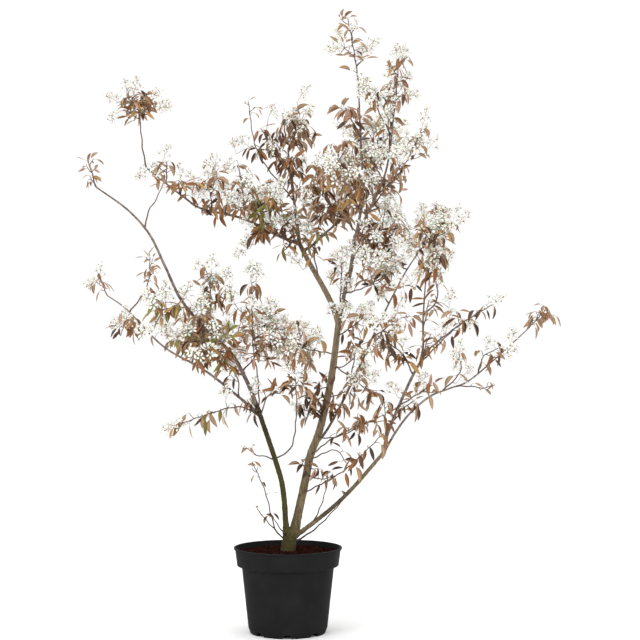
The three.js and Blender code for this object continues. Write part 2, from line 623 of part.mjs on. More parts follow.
// A stem of three sides that ends in a head of its own, with its twigs fused on.
function growSpray(spray) {
  const random = seeded(spray.seed);
  const steps = Math.max(1, Math.ceil(spray.curve.getLength() / STEM_STEP));
  const tip = spray.curve.getPointAt(1);
  const heading = spray.curve.getTangentAt(1);
  const blooms = random() < BLOOM_SHARE;
  const { turns, rings, head } = tuftHead(spray, 'tip', tip, heading, random, blooms);
  const stemRings = [];
  for (let i = 0; i < steps; i += 1) {
    const share = i / steps;
    const centre = spray.curve.getPointAt(share);
    stemRings.push(twigRing(centre, spray.curve.getTangentAt(share), turns, spray.radiusAt(share)));
  }
  const stem = skin([...stemRings, ...rings], middleOf(stemRings[0]), head);
  const parts = [cutClear(stem, spray)];
  const phase = 2 * Math.PI * random();
  for (let i = 0; i < TRIES * spray.twigs && parts.length <= spray.twigs; i += 1) {
    const step = (i % spray.twigs + 0.4 + 0.3 * random()) / spray.twigs;
    const share = spray.bare + (1 - spray.bare) * step;
    const twig = growTwig(spray, i, share, phase + GOLDEN_ANGLE * i, random);
    if (twig) parts.push(twig);
  }
  return largestBody(Manifold.union(parts));
}

// The whole plant in its pot.
const plant = new THREE.Group();
plant.name = 'potted_serviceberry';

function place(name, shape, colour, roughness) {
  const material = new THREE.MeshStandardMaterial({ color: colour, roughness, metalness: 0 });
  const mesh = new THREE.Mesh(geometryOf(shape), material);
  mesh.name = name;
  plant.add(mesh);
}

buildLimbs();
layOutSprays();
place('pot', buildPot(), COLOURS.pot, 0.55);
place('soil', buildSoil(), COLOURS.soil, 1);
for (const [name, limb] of limbs) {
  place(name, limb.shape, limb.radiusAt(0, 0) > THICK_LIMB ? COLOURS.bark : COLOURS.youngBark, 0.85);
}
for (const spray of sprays) {
  place(spray.name, growSpray(spray), COLOURS.foliage, 0.7);
}

export default plant;
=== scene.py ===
# A young serviceberry in blossom in a round nursery pot. Twigs, leaves and flowers grow on from its limbs.
import json
import math
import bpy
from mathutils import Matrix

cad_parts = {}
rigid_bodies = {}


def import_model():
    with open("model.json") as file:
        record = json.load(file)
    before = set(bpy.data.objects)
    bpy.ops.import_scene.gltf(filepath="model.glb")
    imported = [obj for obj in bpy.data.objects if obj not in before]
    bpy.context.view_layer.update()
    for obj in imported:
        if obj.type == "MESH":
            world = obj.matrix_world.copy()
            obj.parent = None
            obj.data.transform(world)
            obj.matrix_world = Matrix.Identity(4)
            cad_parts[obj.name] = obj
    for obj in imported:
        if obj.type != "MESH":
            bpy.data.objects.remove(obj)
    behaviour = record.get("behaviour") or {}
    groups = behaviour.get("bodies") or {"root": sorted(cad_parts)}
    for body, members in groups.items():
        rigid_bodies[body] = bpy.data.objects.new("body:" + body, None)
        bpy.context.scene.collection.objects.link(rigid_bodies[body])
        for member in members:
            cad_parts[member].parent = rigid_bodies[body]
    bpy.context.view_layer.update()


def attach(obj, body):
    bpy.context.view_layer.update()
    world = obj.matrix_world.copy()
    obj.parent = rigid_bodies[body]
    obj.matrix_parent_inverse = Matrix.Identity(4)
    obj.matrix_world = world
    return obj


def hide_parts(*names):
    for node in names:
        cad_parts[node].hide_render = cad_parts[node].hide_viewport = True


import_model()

from types import SimpleNamespace

import bpy
import numpy as np
from mathutils import Matrix, Vector

# Lengths are metres and turns are radians. The widths and thicknesses of leaves and petals are shares of
# their lengths.

# The pot, as its solid has it.
POT_HEIGHT = .220
POT_RADIUS = .140
LIP_HEIGHT = .004
LIP_OVERHANG = .003
BAND_HEIGHT = .046
BAND_TAPER = .0055
BAND_STEP = .012
STEP_HEIGHT = .005
FOOT_RADIUS = .097
FOOT_CHAMFER_WIDTH = .0055
FOOT_CHAMFER_HEIGHT = .014
WALL = .0026
FLOOR = .003
FLOOR_DRAFT = .001
FOOT_RING_WIDTH = .009
RAISED_FLOOR = .008
CENTRE_DISC_RADIUS = .040
DRAIN_COUNT = 8
DRAIN_WIDTH = .024
DRAIN_HEIGHT = .0095
DRAIN_SPRING = .0025
POT_SIDES = 144
POT_ROUNDING = .0007
POT_SHARP_CORNER = math.radians(12)

# The potting mix, and the bark chips on it.
SOIL_LEVEL = .210
SOIL_FALL = .004
SOIL_SEAT_RADIUS = .032
SOIL_FOOT = .012
SOIL_CLEARANCE = .0006
SOIL_IN_BAND = .65
SOIL_RADIUS = POT_RADIUS - LIP_OVERHANG - BAND_TAPER * (1 - SOIL_IN_BAND) - WALL - SOIL_CLEARANCE
SOIL_FOOT_RADIUS = FOOT_RADIUS - .004
SOIL_INNER_RING = .004
SOIL_RINGS = 40
SOIL_SIDES = 160
SOIL_GRAIN = .006
SOIL_ROUGHNESS = .0016
CHIP_COUNT = 2600
CHIP_LENGTH = .011
CHIP_LIFT = .0012
CHIP_TILT = .35

# The stump: its foot, its top, and the knobs of old cuts on it.
STUMP_FOOT = (0, 0, SOIL_LEVEL - .002)
STUMP_TOP = (.007, 0, .268)
STUMP_RADIUS = .017
STUMP_FLARE = .0035
STUMP_CROWN = .0022
STUMP_STEP = .003
KNOB_COUNT = 15
KNOB_RADIUS = .0042

# The limbs: how they are seated as the solids are, and the collar, knuckles and relief of their bark.
GAP = .0003
CURVE_STEPS = 40
LINE_STEP = .004
SPAN_STEP = .02
COLLAR_SWELL = .35
COLLAR_LENGTH = .016
FIRST_SCAR = .012
SCAR_STEP = .022
SCAR_SPREAD = .02
SCAR_SWELL = .0006
SCAR_LENGTH = .0022
ROOT_SINK = .004
ROOT_LENGTH = .06
ROOT_SKIRT = .0003
ROOT_FALL = .0009
THICK_LIMB = .0042
FUSE_VOXEL = .0015
BARK_RIDGE = .004
BARK_DEPTH = .0005
BARK_DEPTH_AT_FOOT = 2.6
YOUNG_RIDGE = .003
YOUNG_DEPTH = .00015

# Foliage at its real size, but for the flowers, which are a quarter larger than life, as their count needs.
LEAF_LENGTH = .036
LEAF_WIDTH = .275
LEAF_THICKNESS = .006
PETIOLE_LENGTH = .009
PETIOLE_RADIUS = .0005
PETIOLE_SEAT = .003
LEAF_HANG = .75
HANG_SPREAD = .9
LEAF_SPREAD = .5
LEAF_ROLL = 1.1
TUFT_TINT_SHARE = .7
INTERNODE = .0035
TUFT_LENGTH = .006
RACEME_LENGTH = .042
RACEME_BEND = -.25
FEWEST_FLOWERS = 6
PEDICEL_LENGTH = .015
PEDICEL_RADIUS = .00035
PEDICEL_LIFT = .002
PETAL_LENGTH = .0125
PETAL_WIDTH = .5
PETAL_COUNT = 5
STEM_RADIUS = .0019
STEM_TIP_RADIUS = .0011
TWIG_RADIUS = .0011
TWIG_TIP_RADIUS = .0008
ZIGZAG = .0011
NODE_STEP = .011

# Sides of the swept lines, from the thickest to the thinnest.
STEM_SIDES = 20
BOUGH_SIDES = 12
TWIG_SIDES = 6
STALK_SIDES = 4

# The branching rule: twigs leave by the golden angle, lean out and rise a little. Where a solid has one
# twig, the scene has more, and a twig that finds no room in its spray's space or hits a limb is left out.
GOLDEN_ANGLE = math.radians(137.5)
TWIG_SPREAD = math.radians(58)
TWIG_LIFT = .18
TWIG_BEND = .25
SHORTEST_TWIG = .016
TWIG_CLEARANCE = .004
SPACE_MARGIN = 1.25
SPINE_POINTS = 9
TWIGS_FOR_ONE = 1.3
PLACES_TRIED = 4
FIRST_SPUR = .012
FIRST_TWIG_SPUR = .015
SPUR_STEP = .022
SPUR_LENGTH = .01
SPUR_BLOOM = .9

# Where each seeded order of numbers starts, apart from the sprays' own.
KNOB_SEED = 17
LIMB_SEED = 31
RACEME_SEED = 401
CHIP_SEED = 7

# The photograph's view: 1.658 m across at the pot's axis, from 4.2 m away, level.
VIEW_WIDTH = 1.658
CAMERA_DISTANCE = 4.2
CAMERA_X = .083
CAMERA_HEIGHT = .808

# The studio: a floor that curves up into a wall, and each light's name, place, width and watts.
FLOOR_REACH = 14
FLOOR_BEND = 2.0
BEND_STEPS = 24
WALL_HEIGHT = 9
AIM_HEIGHT = .8
LIGHTS = (
    ("key", (-2.4, -3.2, 3.0), 2.4, 76),
    ("fill", (3.0, -3.4, 1.8), 2.6, 42),
    ("top", (0, .2, 4.2), 2.5, 46),
)

# The leaf tints of spring growth, and the hands of them that the sprays deal their leaves out from.
LEAF_COLOURS = {
    "copper": "#8b5a2e",
    "amber": "#b78d52",
    "bronze": "#583720",
    "umber": "#3b2517",
    "rose": "#b58a74",
    "olive": "#786b2a",
    "green": "#7d8430",
}
HANDS = {
    "copper": ("copper", "amber", "bronze", "copper", "rose", "copper", "umber"),
    "bronze": ("bronze", "umber", "copper", "bronze", "copper"),
    "rose": ("rose", "amber", "rose", "copper", "bronze", "copper"),
    "olive": ("amber", "copper", "bronze", "olive", "copper", "green"),
}

UP = np.array((0., 0, 1))
BACK = np.array((0., 1, 0))

# What has been laid out so far: the limbs and stems by name, the swept lines as points with their radii,
# and each leaf, flower and bud as its place, turn, size and number of its shape.
limbs = {}
LINES = {"wood": [], "boughs": [], "twigs": [], "stalks": []}
LEAVES = {tint: [] for tint in LEAF_COLOURS}
FLOWERS = []
BUDS = []


def limb(name, radii, route, start=None, on=None, at=None):
    """A limb from its host, or from a start in the stump, along a route, with its first and last radius."""
    return SimpleNamespace(name=name, radii=radii, route=route, start=start, on=on, at=at)


def spray(name, on, at, bare, twigs, girth, route, *, bloom, leaves, seed, hang=LEAF_HANG, tint="copper",
          young=1.0, stem=STEM_RADIUS):
    """A stem with its twigs: see the comment over the sprays for what each value says."""
    return SimpleNamespace(name=name, on=on, at=at, start=None, route=route, bare=bare, twigs=twigs,
                           girth=girth, hang=hang, bloom=bloom, tint=tint, leaves=leaves, young=young,
                           stem=stem, seed=seed)


def shoot(name, on, at, bare, route, twigs=0, girth=.03, leaves=1.7, **options):
    """A thin shoot: a spray with few twigs or none."""
    return spray(name, on, at, bare, twigs, girth, route, leaves=leaves, **options)


LIMBS = [
    limb("left_stem", start=(-.004, -.003, .258), radii=(.0075, .006),
         route=[(-.013, -.015, .374), (-.034, -.033, .454), (-.072, -.06, .571)]),
    limb("main_stem", start=(.016, .002, .258), radii=(.0115, .008),
         route=[(.045, .02, .392), (.058, .03, .455), (.083, .042, .523), (.113, .054, .658),
                (.132, .06, .802)]),
    limb("right_stem", start=(.006, -.002, .238), radii=(.0062, .0046),
         route=[(.102, -.023, .314), (.165, -.048, .376), (.245, -.09, .473)]),
    limb("long_left_bough", on="left_stem", at=1, radii=(.0056, .0019),
         route=[(-.103, -.077, .652), (-.144, -.099, .726), (-.206, -.124, .786), (-.264, -.151, .859),
                (-.301, -.177, .94), (-.337, -.202, 1.018), (-.387, -.236, 1.077), (-.461, -.26, 1.131)]),
    limb("low_left_bough", on="left_stem", at=.97, radii=(.0039, .0015),
         route=[(-.115, -.02, .6), (-.217, .053, .674), (-.334, .112, .738), (-.434, .161, .834),
                (-.492, .185, .874)]),
    limb("leader", on="main_stem", at=1, radii=(.0056, .0016),
         route=[(.146, .048, .873), (.167, .035, .952), (.178, .023, 1.032), (.192, .015, 1.112),
                (.194, .011, 1.185), (.189, .007, 1.267), (.182, 0, 1.43)]),
    limb("upper_left_fork", on="main_stem", at=1, radii=(.0076, .006),
         route=[(.111, .076, .857), (.082, .101, .912), (.055, .138, .96), (.028, .17, 1.013)]),
    limb("upper_left_bough", on="upper_left_fork", at=1, radii=(.0044, .0019),
         route=[(-.024, .153, 1.032), (-.122, .119, 1.078), (-.227, .08, 1.101), (-.275, .059, 1.131),
                (-.368, .02, 1.203)]),
    limb("back_left_bough", on="upper_left_fork", at=1, radii=(.0046, .0022),
         route=[(.018, .2, 1.093), (.004, .23, 1.19), (-.005, .26, 1.276)]),
    limb("upper_right_bough", on="leader", at=.2, radii=(.004, .0018),
         route=[(.179, .01, 1.026), (.247, -.1, 1.175), (.27, -.15, 1.34)]),
    limb("right_slanting_bough", on="main_stem", at=.4, radii=(.0036, .0019),
         route=[(.11, .074, .532), (.179, .142, .662), (.243, .204, .798), (.313, .267, .93),
                (.356, .31, .995)]),
    limb("right_bough", on="right_stem", at=1, radii=(.0042, .0032),
         route=[(.256, -.109, .528), (.304, -.15, .647), (.333, -.17, .705)]),
    limb("right_upright", on="right_bough", at=1, radii=(.0028, .0018),
         route=[(.339, -.177, .746), (.338, -.187, .808), (.343, -.2, .897)]),
    limb("long_right_bough", on="right_stem", at=1, radii=(.0031, .0014),
         route=[(.277, -.062, .523), (.315, -.034, .569), (.369, -.003, .611), (.422, .027, .63),
                (.478, .051, .652), (.582, .084, .738), (.636, .1, .786)]),
]

# Name, host, share of the host's length, bare share of the stem, twigs, reach, and the stem's route. Then
# how far the leaves hang below the level, the share of tufts that bloom, the hand of tints, the leaves in a
# tuft, their size as a share of a grown leaf's, the stem's radius and the seed.
SPRAYS = [
    spray("leader_spray", "leader", 1, .1, 4, .068, [(.171, -.005, 1.501), (.155, -.01, 1.588)], hang=.3,
          bloom=.15, tint="rose", leaves=2, young=.85, stem=.0018, seed=837),
    spray("leader_left_spray", "leader", .77, .3, 2, .055, [(.148, -.06, 1.35)], hang=.55, bloom=.34,
          tint="rose", leaves=4.1, seed=646),
    spray("leader_right_spray", "leader", .58, .1, 7, .095, [(.238, .06, 1.285)], hang=.55, bloom=.65,
          leaves=2.3, seed=834),
    spray("upper_right_spray", "upper_right_bough", 1, 0, 3, .075, [(.28, -.16, 1.462)], hang=.85,
          bloom=.2, tint="rose", leaves=2.3, stem=.0018, seed=870),
    spray("upper_right_shoulder", "upper_right_bough", .5, .15, 5, .07,
          [(.285, -.16, 1.18), (.335, -.19, 1.28)], bloom=.35, tint="rose", leaves=2.4, young=.8,
          seed=288),
    spray("crown_front", "leader", .5, .15, 8, .105, [(.13, -.17, 1.21)], hang=.95, bloom=.41, leaves=2.5,
          seed=883),
    spray("crown_back", "upper_left_fork", .9, .35, 4, .105,
          [(.078, .17, 1.024), (.143, .25, 1.104), (.172, .33, 1.27)], hang=.85, bloom=.28, leaves=2.8,
          stem=.0042, seed=600),
    spray("crown_middle", "leader", .38, .15, 6, .11, [(.06, .045, 1.165)], hang=.7, bloom=.31,
          tint="bronze", leaves=3.2, seed=195),
    spray("top_left_spray", "back_left_bough", 1, 0, 6, .09, [(.03, .28, 1.35)], hang=.8, bloom=.18,
          tint="bronze", leaves=3, seed=272),
    spray("top_left_middle", "back_left_bough", .75, .1, 4, .09, [(-.062, .19, 1.315)], hang=.9,
          bloom=.27, tint="bronze", leaves=3.3, seed=440),
    spray("top_left_outer", "back_left_bough", .45, .82, 1, .04, [(-.084, .18, 1.26), (-.112, .19, 1.4)],
          hang=.5, bloom=0, leaves=1, young=.5, seed=15),
    spray("upper_left_front", "upper_left_bough", .2, 0, 5, .105, [(-.09, .01, 1.13)], hang=.8, bloom=.39,
          tint="olive", leaves=4.3, seed=109),
    spray("upper_left_back", "upper_left_bough", .35, 0, 3, .09, [(-.13, .2, 1.19)], hang=.55, bloom=.26,
          leaves=1.7, seed=463),
    spray("upper_left_middle", "upper_left_bough", .55, 0, 4, .085, [(-.205, .02, 1.172)], hang=.7,
          bloom=.69, leaves=2, seed=112),
    spray("upper_left_end", "upper_left_bough", .86, .1, 1, .06, [(-.31, -.04, 1.215)], bloom=.19,
          leaves=1.4, seed=569),
    spray("far_left_tuft", "upper_left_bough", 1, .74, 8, .078,
          [(-.377, .01, 1.249), (-.381, 0, 1.3), (-.388, -.01, 1.37)], hang=.55, bloom=.12, leaves=3.2,
          young=.9, seed=393),
    spray("long_left_end", "long_left_bough", 1, 0, 2, .055, [(-.479, -.27, 1.195)], hang=.3, bloom=0,
          tint="rose", leaves=2, young=.68, seed=128),
    spray("left_small_tuft", "low_left_bough", .86, .6, 2, .045,
          [(-.396, .14, .87), (-.374, .13, .915), (-.369, .11, .975)], hang=.55, bloom=.1, leaves=2.4,
          young=.75, seed=982),
    spray("low_left_end", "low_left_bough", 1, 0, 1, .05, [(-.518, .19, .935)], hang=.95, bloom=.07,
          tint="rose", leaves=2.3, young=.85, seed=267),
    spray("low_left_spray", "low_left_bough", .75, .2, 1, .06, [(-.445, .06, .79)], bloom=.25, leaves=3.5,
          seed=877),
    spray("left_front", "long_left_bough", .47, .1, 4, .085, [(-.325, -.24, .83)], hang=.8, bloom=.37,
          tint="olive", leaves=2.2, seed=529),
    spray("left_under", "long_left_bough", .22, .1, 5, .1, [(-.23, -.19, .76)], hang=.55, bloom=.36,
          tint="olive", leaves=5.4, seed=122),
    spray("left_top", "left_stem", 1, .45, 2, .085,
          [(-.075, -.08, .663), (-.086, -.11, .742), (-.087, -.15, .9)], hang=.9, bloom=.36, leaves=2.4,
          seed=28),
    spray("left_middle", "long_left_bough", .34, .1, 3, .095, [(-.198, -.05, .92)], hang=.85, bloom=.24,
          leaves=2.7, seed=101),
    spray("left_inner", "long_left_bough", .16, .25, 5, .09, [(-.025, -.03, .78)], hang=.55, bloom=.95,
          leaves=4, seed=320),
    spray("left_back", "low_left_bough", .45, .15, 6, .1, [(-.24, .16, .78)], hang=.85, bloom=.3,
          tint="olive", leaves=4.3, seed=179),
    spray("centre_left", "left_stem", .6, .65, 3, .08,
          [(.012, -.08, .49), (.024, -.13, .595), (.02, -.17, .714), (.041, -.2, .78)], hang=.7,
          bloom=.28, leaves=1.8, seed=676),
    spray("centre_back", "main_stem", .85, .4, 2, .08, [(-.012, .2, .74)], hang=.95, bloom=.65,
          leaves=3.4, seed=507),
    spray("low_left_outer", "left_stem", .97, .35, 4, .05, [(-.131, -.12, .589), (-.27, -.21, .55)],
          hang=.95, bloom=.13, tint="olive", leaves=1.2, seed=256),
    spray("right_back", "right_slanting_bough", 1, 0, 6, .1, [(.43, .35, 1.075)], hang=.55, bloom=.63,
          leaves=2.9, seed=537),
    spray("right_top", "upper_right_bough", .26, .2, 6, .095, [(.235, -.035, 1.03), (.288, -.06, 1.046)],
          hang=.55, bloom=.45, leaves=2, seed=900),
    spray("mid_right", "leader", .12, .55, 4, .07, [(.201, -.04, .893), (.255, -.11, .925)], hang=.55,
          bloom=.72, leaves=2, seed=143),
    spray("right_upright_spray", "right_upright", 1, 0, 5, .085, [(.37, -.23, 1.02)], hang=.8, bloom=.64,
          leaves=2.5, seed=862),
    spray("right_middle", "right_slanting_bough", .45, .2, 3, .08, [(.273, .09, .81)], hang=.7, bloom=.12,
          tint="rose", leaves=1.7, seed=83),
    spray("right_inner", "right_bough", .85, .3, 3, .06, [(.281, -.19, .729), (.225, -.22, .768)],
          hang=.95, bloom=.35, leaves=2.3, seed=256),
    spray("right_end", "right_bough", 1, .35, 1, .055,
          [(.368, -.22, .752), (.444, -.3, .813), (.495, -.33, .845)], bloom=.17, tint="bronze", leaves=2,
          seed=306),
    spray("far_right_tuft", "long_right_bough", 1, .1, 3, .055, [(.686, .11, .838)], bloom=0, tint="rose",
          leaves=2.3, young=.9, seed=654),
    spray("far_right_spray", "long_right_bough", .66, .3, 1, .06, [(.51, .04, .712), (.548, .03, .735)],
          hang=.65, bloom=.06, tint="rose", leaves=1.8, seed=824),
    spray("right_low", "right_bough", .5, .4, 1, .055, [(.359, -.21, .648)], hang=.55, bloom=.05,
          leaves=1.6, seed=254),
    spray("low_centre", "main_stem", .8, .3, 4, .065, [(.222, .13, .612)], hang=.85, bloom=.1,
          tint="bronze", leaves=2.3, seed=23),
    spray("low_right", "main_stem", .45, .35, 1, .055, [(.134, -.03, .51), (.244, -.11, .568)], hang=.7,
          bloom=.03, tint="bronze", leaves=1.8, seed=315),
    spray("low_front", "main_stem", .18, .5, 1, .045, [(.146, -.1, .429), (.24, -.2, .528)], hang=.95,
          bloom=0, leaves=1.2, seed=405),
    spray("base_left", "stump", .4, .6, 1, .035,
          [(-.032, -.016, .268), (-.058, -.03, .366), (-.09, -.055, .445)], hang=.55, bloom=0,
          tint="rose", leaves=.8, young=.75, seed=138),
]

# Thin shoots beside the sprays' stems, which the photograph shows between them and low on the stems.
SHOOTS = [
    shoot("left_link", "long_left_bough", .78, .85,
          [(-.341, -.2, 1.074), (-.321, -.185, 1.11), (-.307, -.17, 1.148)], hang=.55, bloom=0,
          leaves=2.3, seed=373),
    shoot("left_stem_shoot", "left_stem", .6, .8,
          [(-.063, -.06, .461), (-.08, -.08, .465), (-.102, -.095, .484)], bloom=0, leaves=1.8, young=.75,
          seed=45),
    shoot("low_base_shoot", "stump", .3, .85,
          [(-.032, -.04, .269), (-.055, -.07, .299), (-.076, -.095, .33)], hang=.2, bloom=0,
          tint="bronze", leaves=1.3, young=.75, seed=531),
    shoot("hooked_base_shoot", "stump", .5, 1, [(-.027, -.045, .285), (-.042, -.06, .313)], hang=.6,
          bloom=0, tint="bronze", leaves=1.1, young=.75, seed=85),
    shoot("inner_left_shoot", "left_stem", .97, .3,
          [(-.049, -.095, .616), (-.017, -.13, .625), (-.004, -.15, .643), (.041, -.17, .644)], twigs=3,
          girth=.04, hang=.55, bloom=.07, tint="bronze", leaves=2.3, seed=986),
    shoot("left_fork_spur", "left_stem", .95, .3, [(-.102, -.08, .605)], hang=.7, bloom=.08,
          tint="bronze", leaves=3.4, seed=672),
    shoot("low_main_shoot", "main_stem", .27, .6, [(.083, -.03, .399), (.121, -.06, .41)], hang=.95,
          bloom=0, tint="bronze", leaves=2, seed=787),
    shoot("upright_base_shoot", "right_stem", .22, .8,
          [(.088, -.06, .341), (.101, -.085, .392), (.103, -.1, .424)], hang=.7, bloom=0, leaves=1,
          young=.75, seed=875),
    shoot("under_right_shoot", "stump", .35, 1, [(.044, .02, .246), (.088, .045, .277), (.149, .06, .34)],
          hang=.55, bloom=0, leaves=.8, young=.75, stem=.0026, seed=853),
    shoot("low_fork_shoot", "main_stem", .36, .5,
          [(.109, -.04, .5), (.152, -.07, .525), (.187, -.1, .545), (.244, -.13, .555)], bloom=0,
          tint="bronze", seed=609),
    shoot("low_knee_shoot", "main_stem", .34, .8, [(.121, -.06, .476), (.149, -.09, .446)], hang=.6,
          bloom=0, tint="bronze", leaves=1.6, seed=620),
    shoot("stem_shoot_right", "main_stem", .78, .5, [(.151, .02, .691), (.174, 0, .715)], hang=.55,
          bloom=.04, tint="bronze", leaves=2.1, seed=79),
    shoot("stem_spur_middle", "main_stem", .7, .3, [(.083, .02, .627)], hang=.55, bloom=.13,
          tint="bronze", leaves=3.3, seed=700),
    shoot("stem_shoot_left", "main_stem", .66, .3, [(.07, .01, .6), (.044, -.02, .612)], twigs=2, hang=.7,
          bloom=.13, tint="bronze", leaves=3, seed=582),
    shoot("stem_spur_right_middle", "main_stem", .6, .3, [(.119, .01, .59), (.14, -.01, .581)], hang=.7,
          bloom=0, tint="bronze", leaves=4.1, seed=323),
    shoot("low_stem_shoot_left", "main_stem", .54, .3, [(.062, 0, .567), (.037, -.04, .58)], twigs=2,
          hang=.7, bloom=.09, tint="bronze", leaves=2.1, seed=8),
    shoot("stem_spur_left", "main_stem", .29, .3, [(.036, .02, .436)], hang=.7, bloom=0, leaves=2.9,
          seed=469),
    shoot("stem_spur_right", "main_stem", .3, .3, [(.078, -.02, .424)], hang=.95, bloom=0, leaves=2.3,
          seed=83),
    shoot("upper_stem_shoot", "main_stem", .93, .3, [(.165, .02, .79), (.196, -.01, .813)], twigs=3,
          girth=.04, hang=.95, bloom=.39, leaves=2, seed=337),
    shoot("leader_foot_shoot", "leader", .02, .3, [(.139, .03, .932), (.137, 0, .957)], twigs=3,
          girth=.04, hang=.55, bloom=.52, seed=613),
    shoot("crossing_shoot", "right_bough", .93, .3,
          [(.293, -.2, .709), (.259, -.23, .73), (.225, -.24, .754)], twigs=1, hang=.95, bloom=.05,
          leaves=1.5, seed=765),
    shoot("right_bough_spur", "right_bough", .1, .4, [(.246, -.12, .602)], hang=.8, bloom=0, leaves=1.9,
          seed=437),
    shoot("thin_right_shoot", "right_bough", .97, .8, [(.401, -.23, .776), (.431, -.25, .803)], hang=.85,
          bloom=.04, leaves=1.5, seed=438),
    shoot("hanging_shoot", "long_right_bough", .45, .25, [(.446, 0, .673), (.441, -.02, .726)], hang=1.1,
          bloom=.3, leaves=1.3, seed=395),
    shoot("slanting_shoot_right", "right_slanting_bough", .55, .5, [(.294, .18, .808), (.324, .15, .819)],
          hang=.95, bloom=.13, leaves=3.2, seed=551),
    shoot("slanting_shoot_left", "right_slanting_bough", .72, .6, [(.247, .24, .89), (.208, .2, .917)],
          hang=.9, bloom=.04, leaves=4.1, seed=848),
    shoot("slanting_shoot_high", "right_slanting_bough", .9, .4, [(.292, .26, .962), (.266, .24, .975)],
          hang=.9, bloom=.26, leaves=2.6, seed=272),
    shoot("slanting_shoot_middle", "right_slanting_bough", .8, .3, [(.317, .22, .902), (.343, .19, .895)],
          hang=.55, bloom=.24, leaves=2.3, seed=982),
    shoot("right_column_shoot", "right_upright", .6, .3,
          [(.373, -.18, .858), (.369, -.2, .919), (.378, -.22, .968)], twigs=1, girth=.045, hang=.95,
          bloom=.31, leaves=1.3, seed=491),
    shoot("under_crown_shoot", "upper_left_fork", .5, .3,
          [(.068, .11, .98), (.075, .09, 1.03), (.085, .06, 1.08)], twigs=2, girth=.08, hang=.8, bloom=.3,
          tint="olive", leaves=2.5, seed=905),
    shoot("inner_crown_shoot", "upper_left_fork", .9, .3, [(.006, .14, 1.04), (-.02, .12, 1.09)], twigs=3,
          girth=.07, hang=.55, bloom=.49, tint="olive", leaves=3.7, seed=815),
    shoot("dark_crown_shoot", "back_left_bough", .45, .2, [(.009, .18, 1.224), (.018, .13, 1.246)],
          twigs=4, girth=.045, hang=.95, bloom=.05, tint="bronze", leaves=3.6, seed=703),
    shoot("leader_shoot", "leader", .3, .3, [(.19, .06, 1.02), (.205, .07, 1.1), (.2, .08, 1.18)],
          twigs=3, girth=.07, hang=.95, bloom=.3, leaves=2.3, seed=172),
    shoot("hanging_crown_shoot", "upper_right_bough", .22, .3, [(.195, -.06, 1.022), (.202, -.085, .986)],
          twigs=1, girth=.035, hang=1.1, bloom=.11, leaves=2.6, seed=824),
    shoot("right_crown_shoot", "upper_right_bough", .25, .4, [(.24, -.03, 1.0), (.266, -.06, .997)],
          twigs=1, girth=.04, hang=.55, bloom=.17, leaves=1.9, seed=142),
    shoot("upper_right_low_shoot", "upper_right_bough", .78, .3,
          [(.248, -.15, 1.347), (.228, -.16, 1.376)], twigs=2, girth=.04, hang=.95, bloom=.45, leaves=2,
          seed=615),
    shoot("upper_right_left_shoot", "upper_right_bough", .85, .5, [(.21, -.12, 1.37), (.2, -.1, 1.388)],
          hang=.55, bloom=.75, leaves=1.5, seed=589),
    shoot("upper_left_shoot", "upper_left_bough", .72, .2, [(-.27, .02, 1.146), (-.283, 0, 1.17)],
          twigs=1, hang=.8, bloom=.07, leaves=3.3, seed=922),
    shoot("crown_right_shoot", "upper_right_bough", .4, .3, [(.255, -.06, 1.146), (.288, -.03, 1.178)],
          twigs=3, girth=.05, hang=.55, bloom=.21, leaves=2.5, seed=412),
    shoot("right_upright_spur", "right_upright", .4, .3, [(.352, -.2, .857)], hang=.55, bloom=.07,
          leaves=3.7, seed=773),
    shoot("right_fork_spur", "right_bough", 1, .3, [(.349, -.2, .758), (.36, -.2, .763)], twigs=2,
          bloom=.09, leaves=2.7, seed=741),
    shoot("low_slanting_shoot", "right_slanting_bough", .3, .4, [(.176, .13, .72), (.165, .11, .755)],
          twigs=1, hang=.65, bloom=.05, leaves=2, seed=777),
    shoot("under_left_spur", "upper_left_bough", .48, .3, [(-.22, .06, 1.1)], hang=1.1, bloom=.11,
          leaves=2.5, seed=231),
    shoot("under_fork_shoot", "upper_left_bough", .08, .3, [(.003, .15, 1.009), (-.015, .13, .992)],
          twigs=1, hang=.9, bloom=.05, tint="olive", leaves=2.9, seed=968),
    shoot("stem_spur_high", "main_stem", .64, .3, [(.148, .03, .62)], hang=.95, bloom=.05, tint="bronze",
          leaves=3, seed=771),
    shoot("low_left_shoot", "low_left_bough", .15, .3, [(-.13, -.02, .66), (-.155, -.03, .69)], twigs=2,
          girth=.05, hang=.7, bloom=.26, seed=24),
    shoot("thin_upper_shoot", "upper_left_bough", .47, .5,
          [(-.164, .08, 1.137), (-.19, .07, 1.19), (-.206, .06, 1.237)], hang=0, bloom=0, tint="rose",
          leaves=1, young=.55, seed=426),
    shoot("under_right_shoot_end", "long_right_bough", .53, .4,
          [(.47, .01, .636), (.505, 0, .632), (.535, -.01, .64)], hang=.65, bloom=0, tint="rose",
          leaves=.8, young=.8, seed=61),
    shoot("right_bough_bunch", "right_bough", .3, .4, [(.296, -.14, .59), (.318, -.16, .607)], bloom=.04,
          tint="bronze", leaves=3.5, seed=631),
]

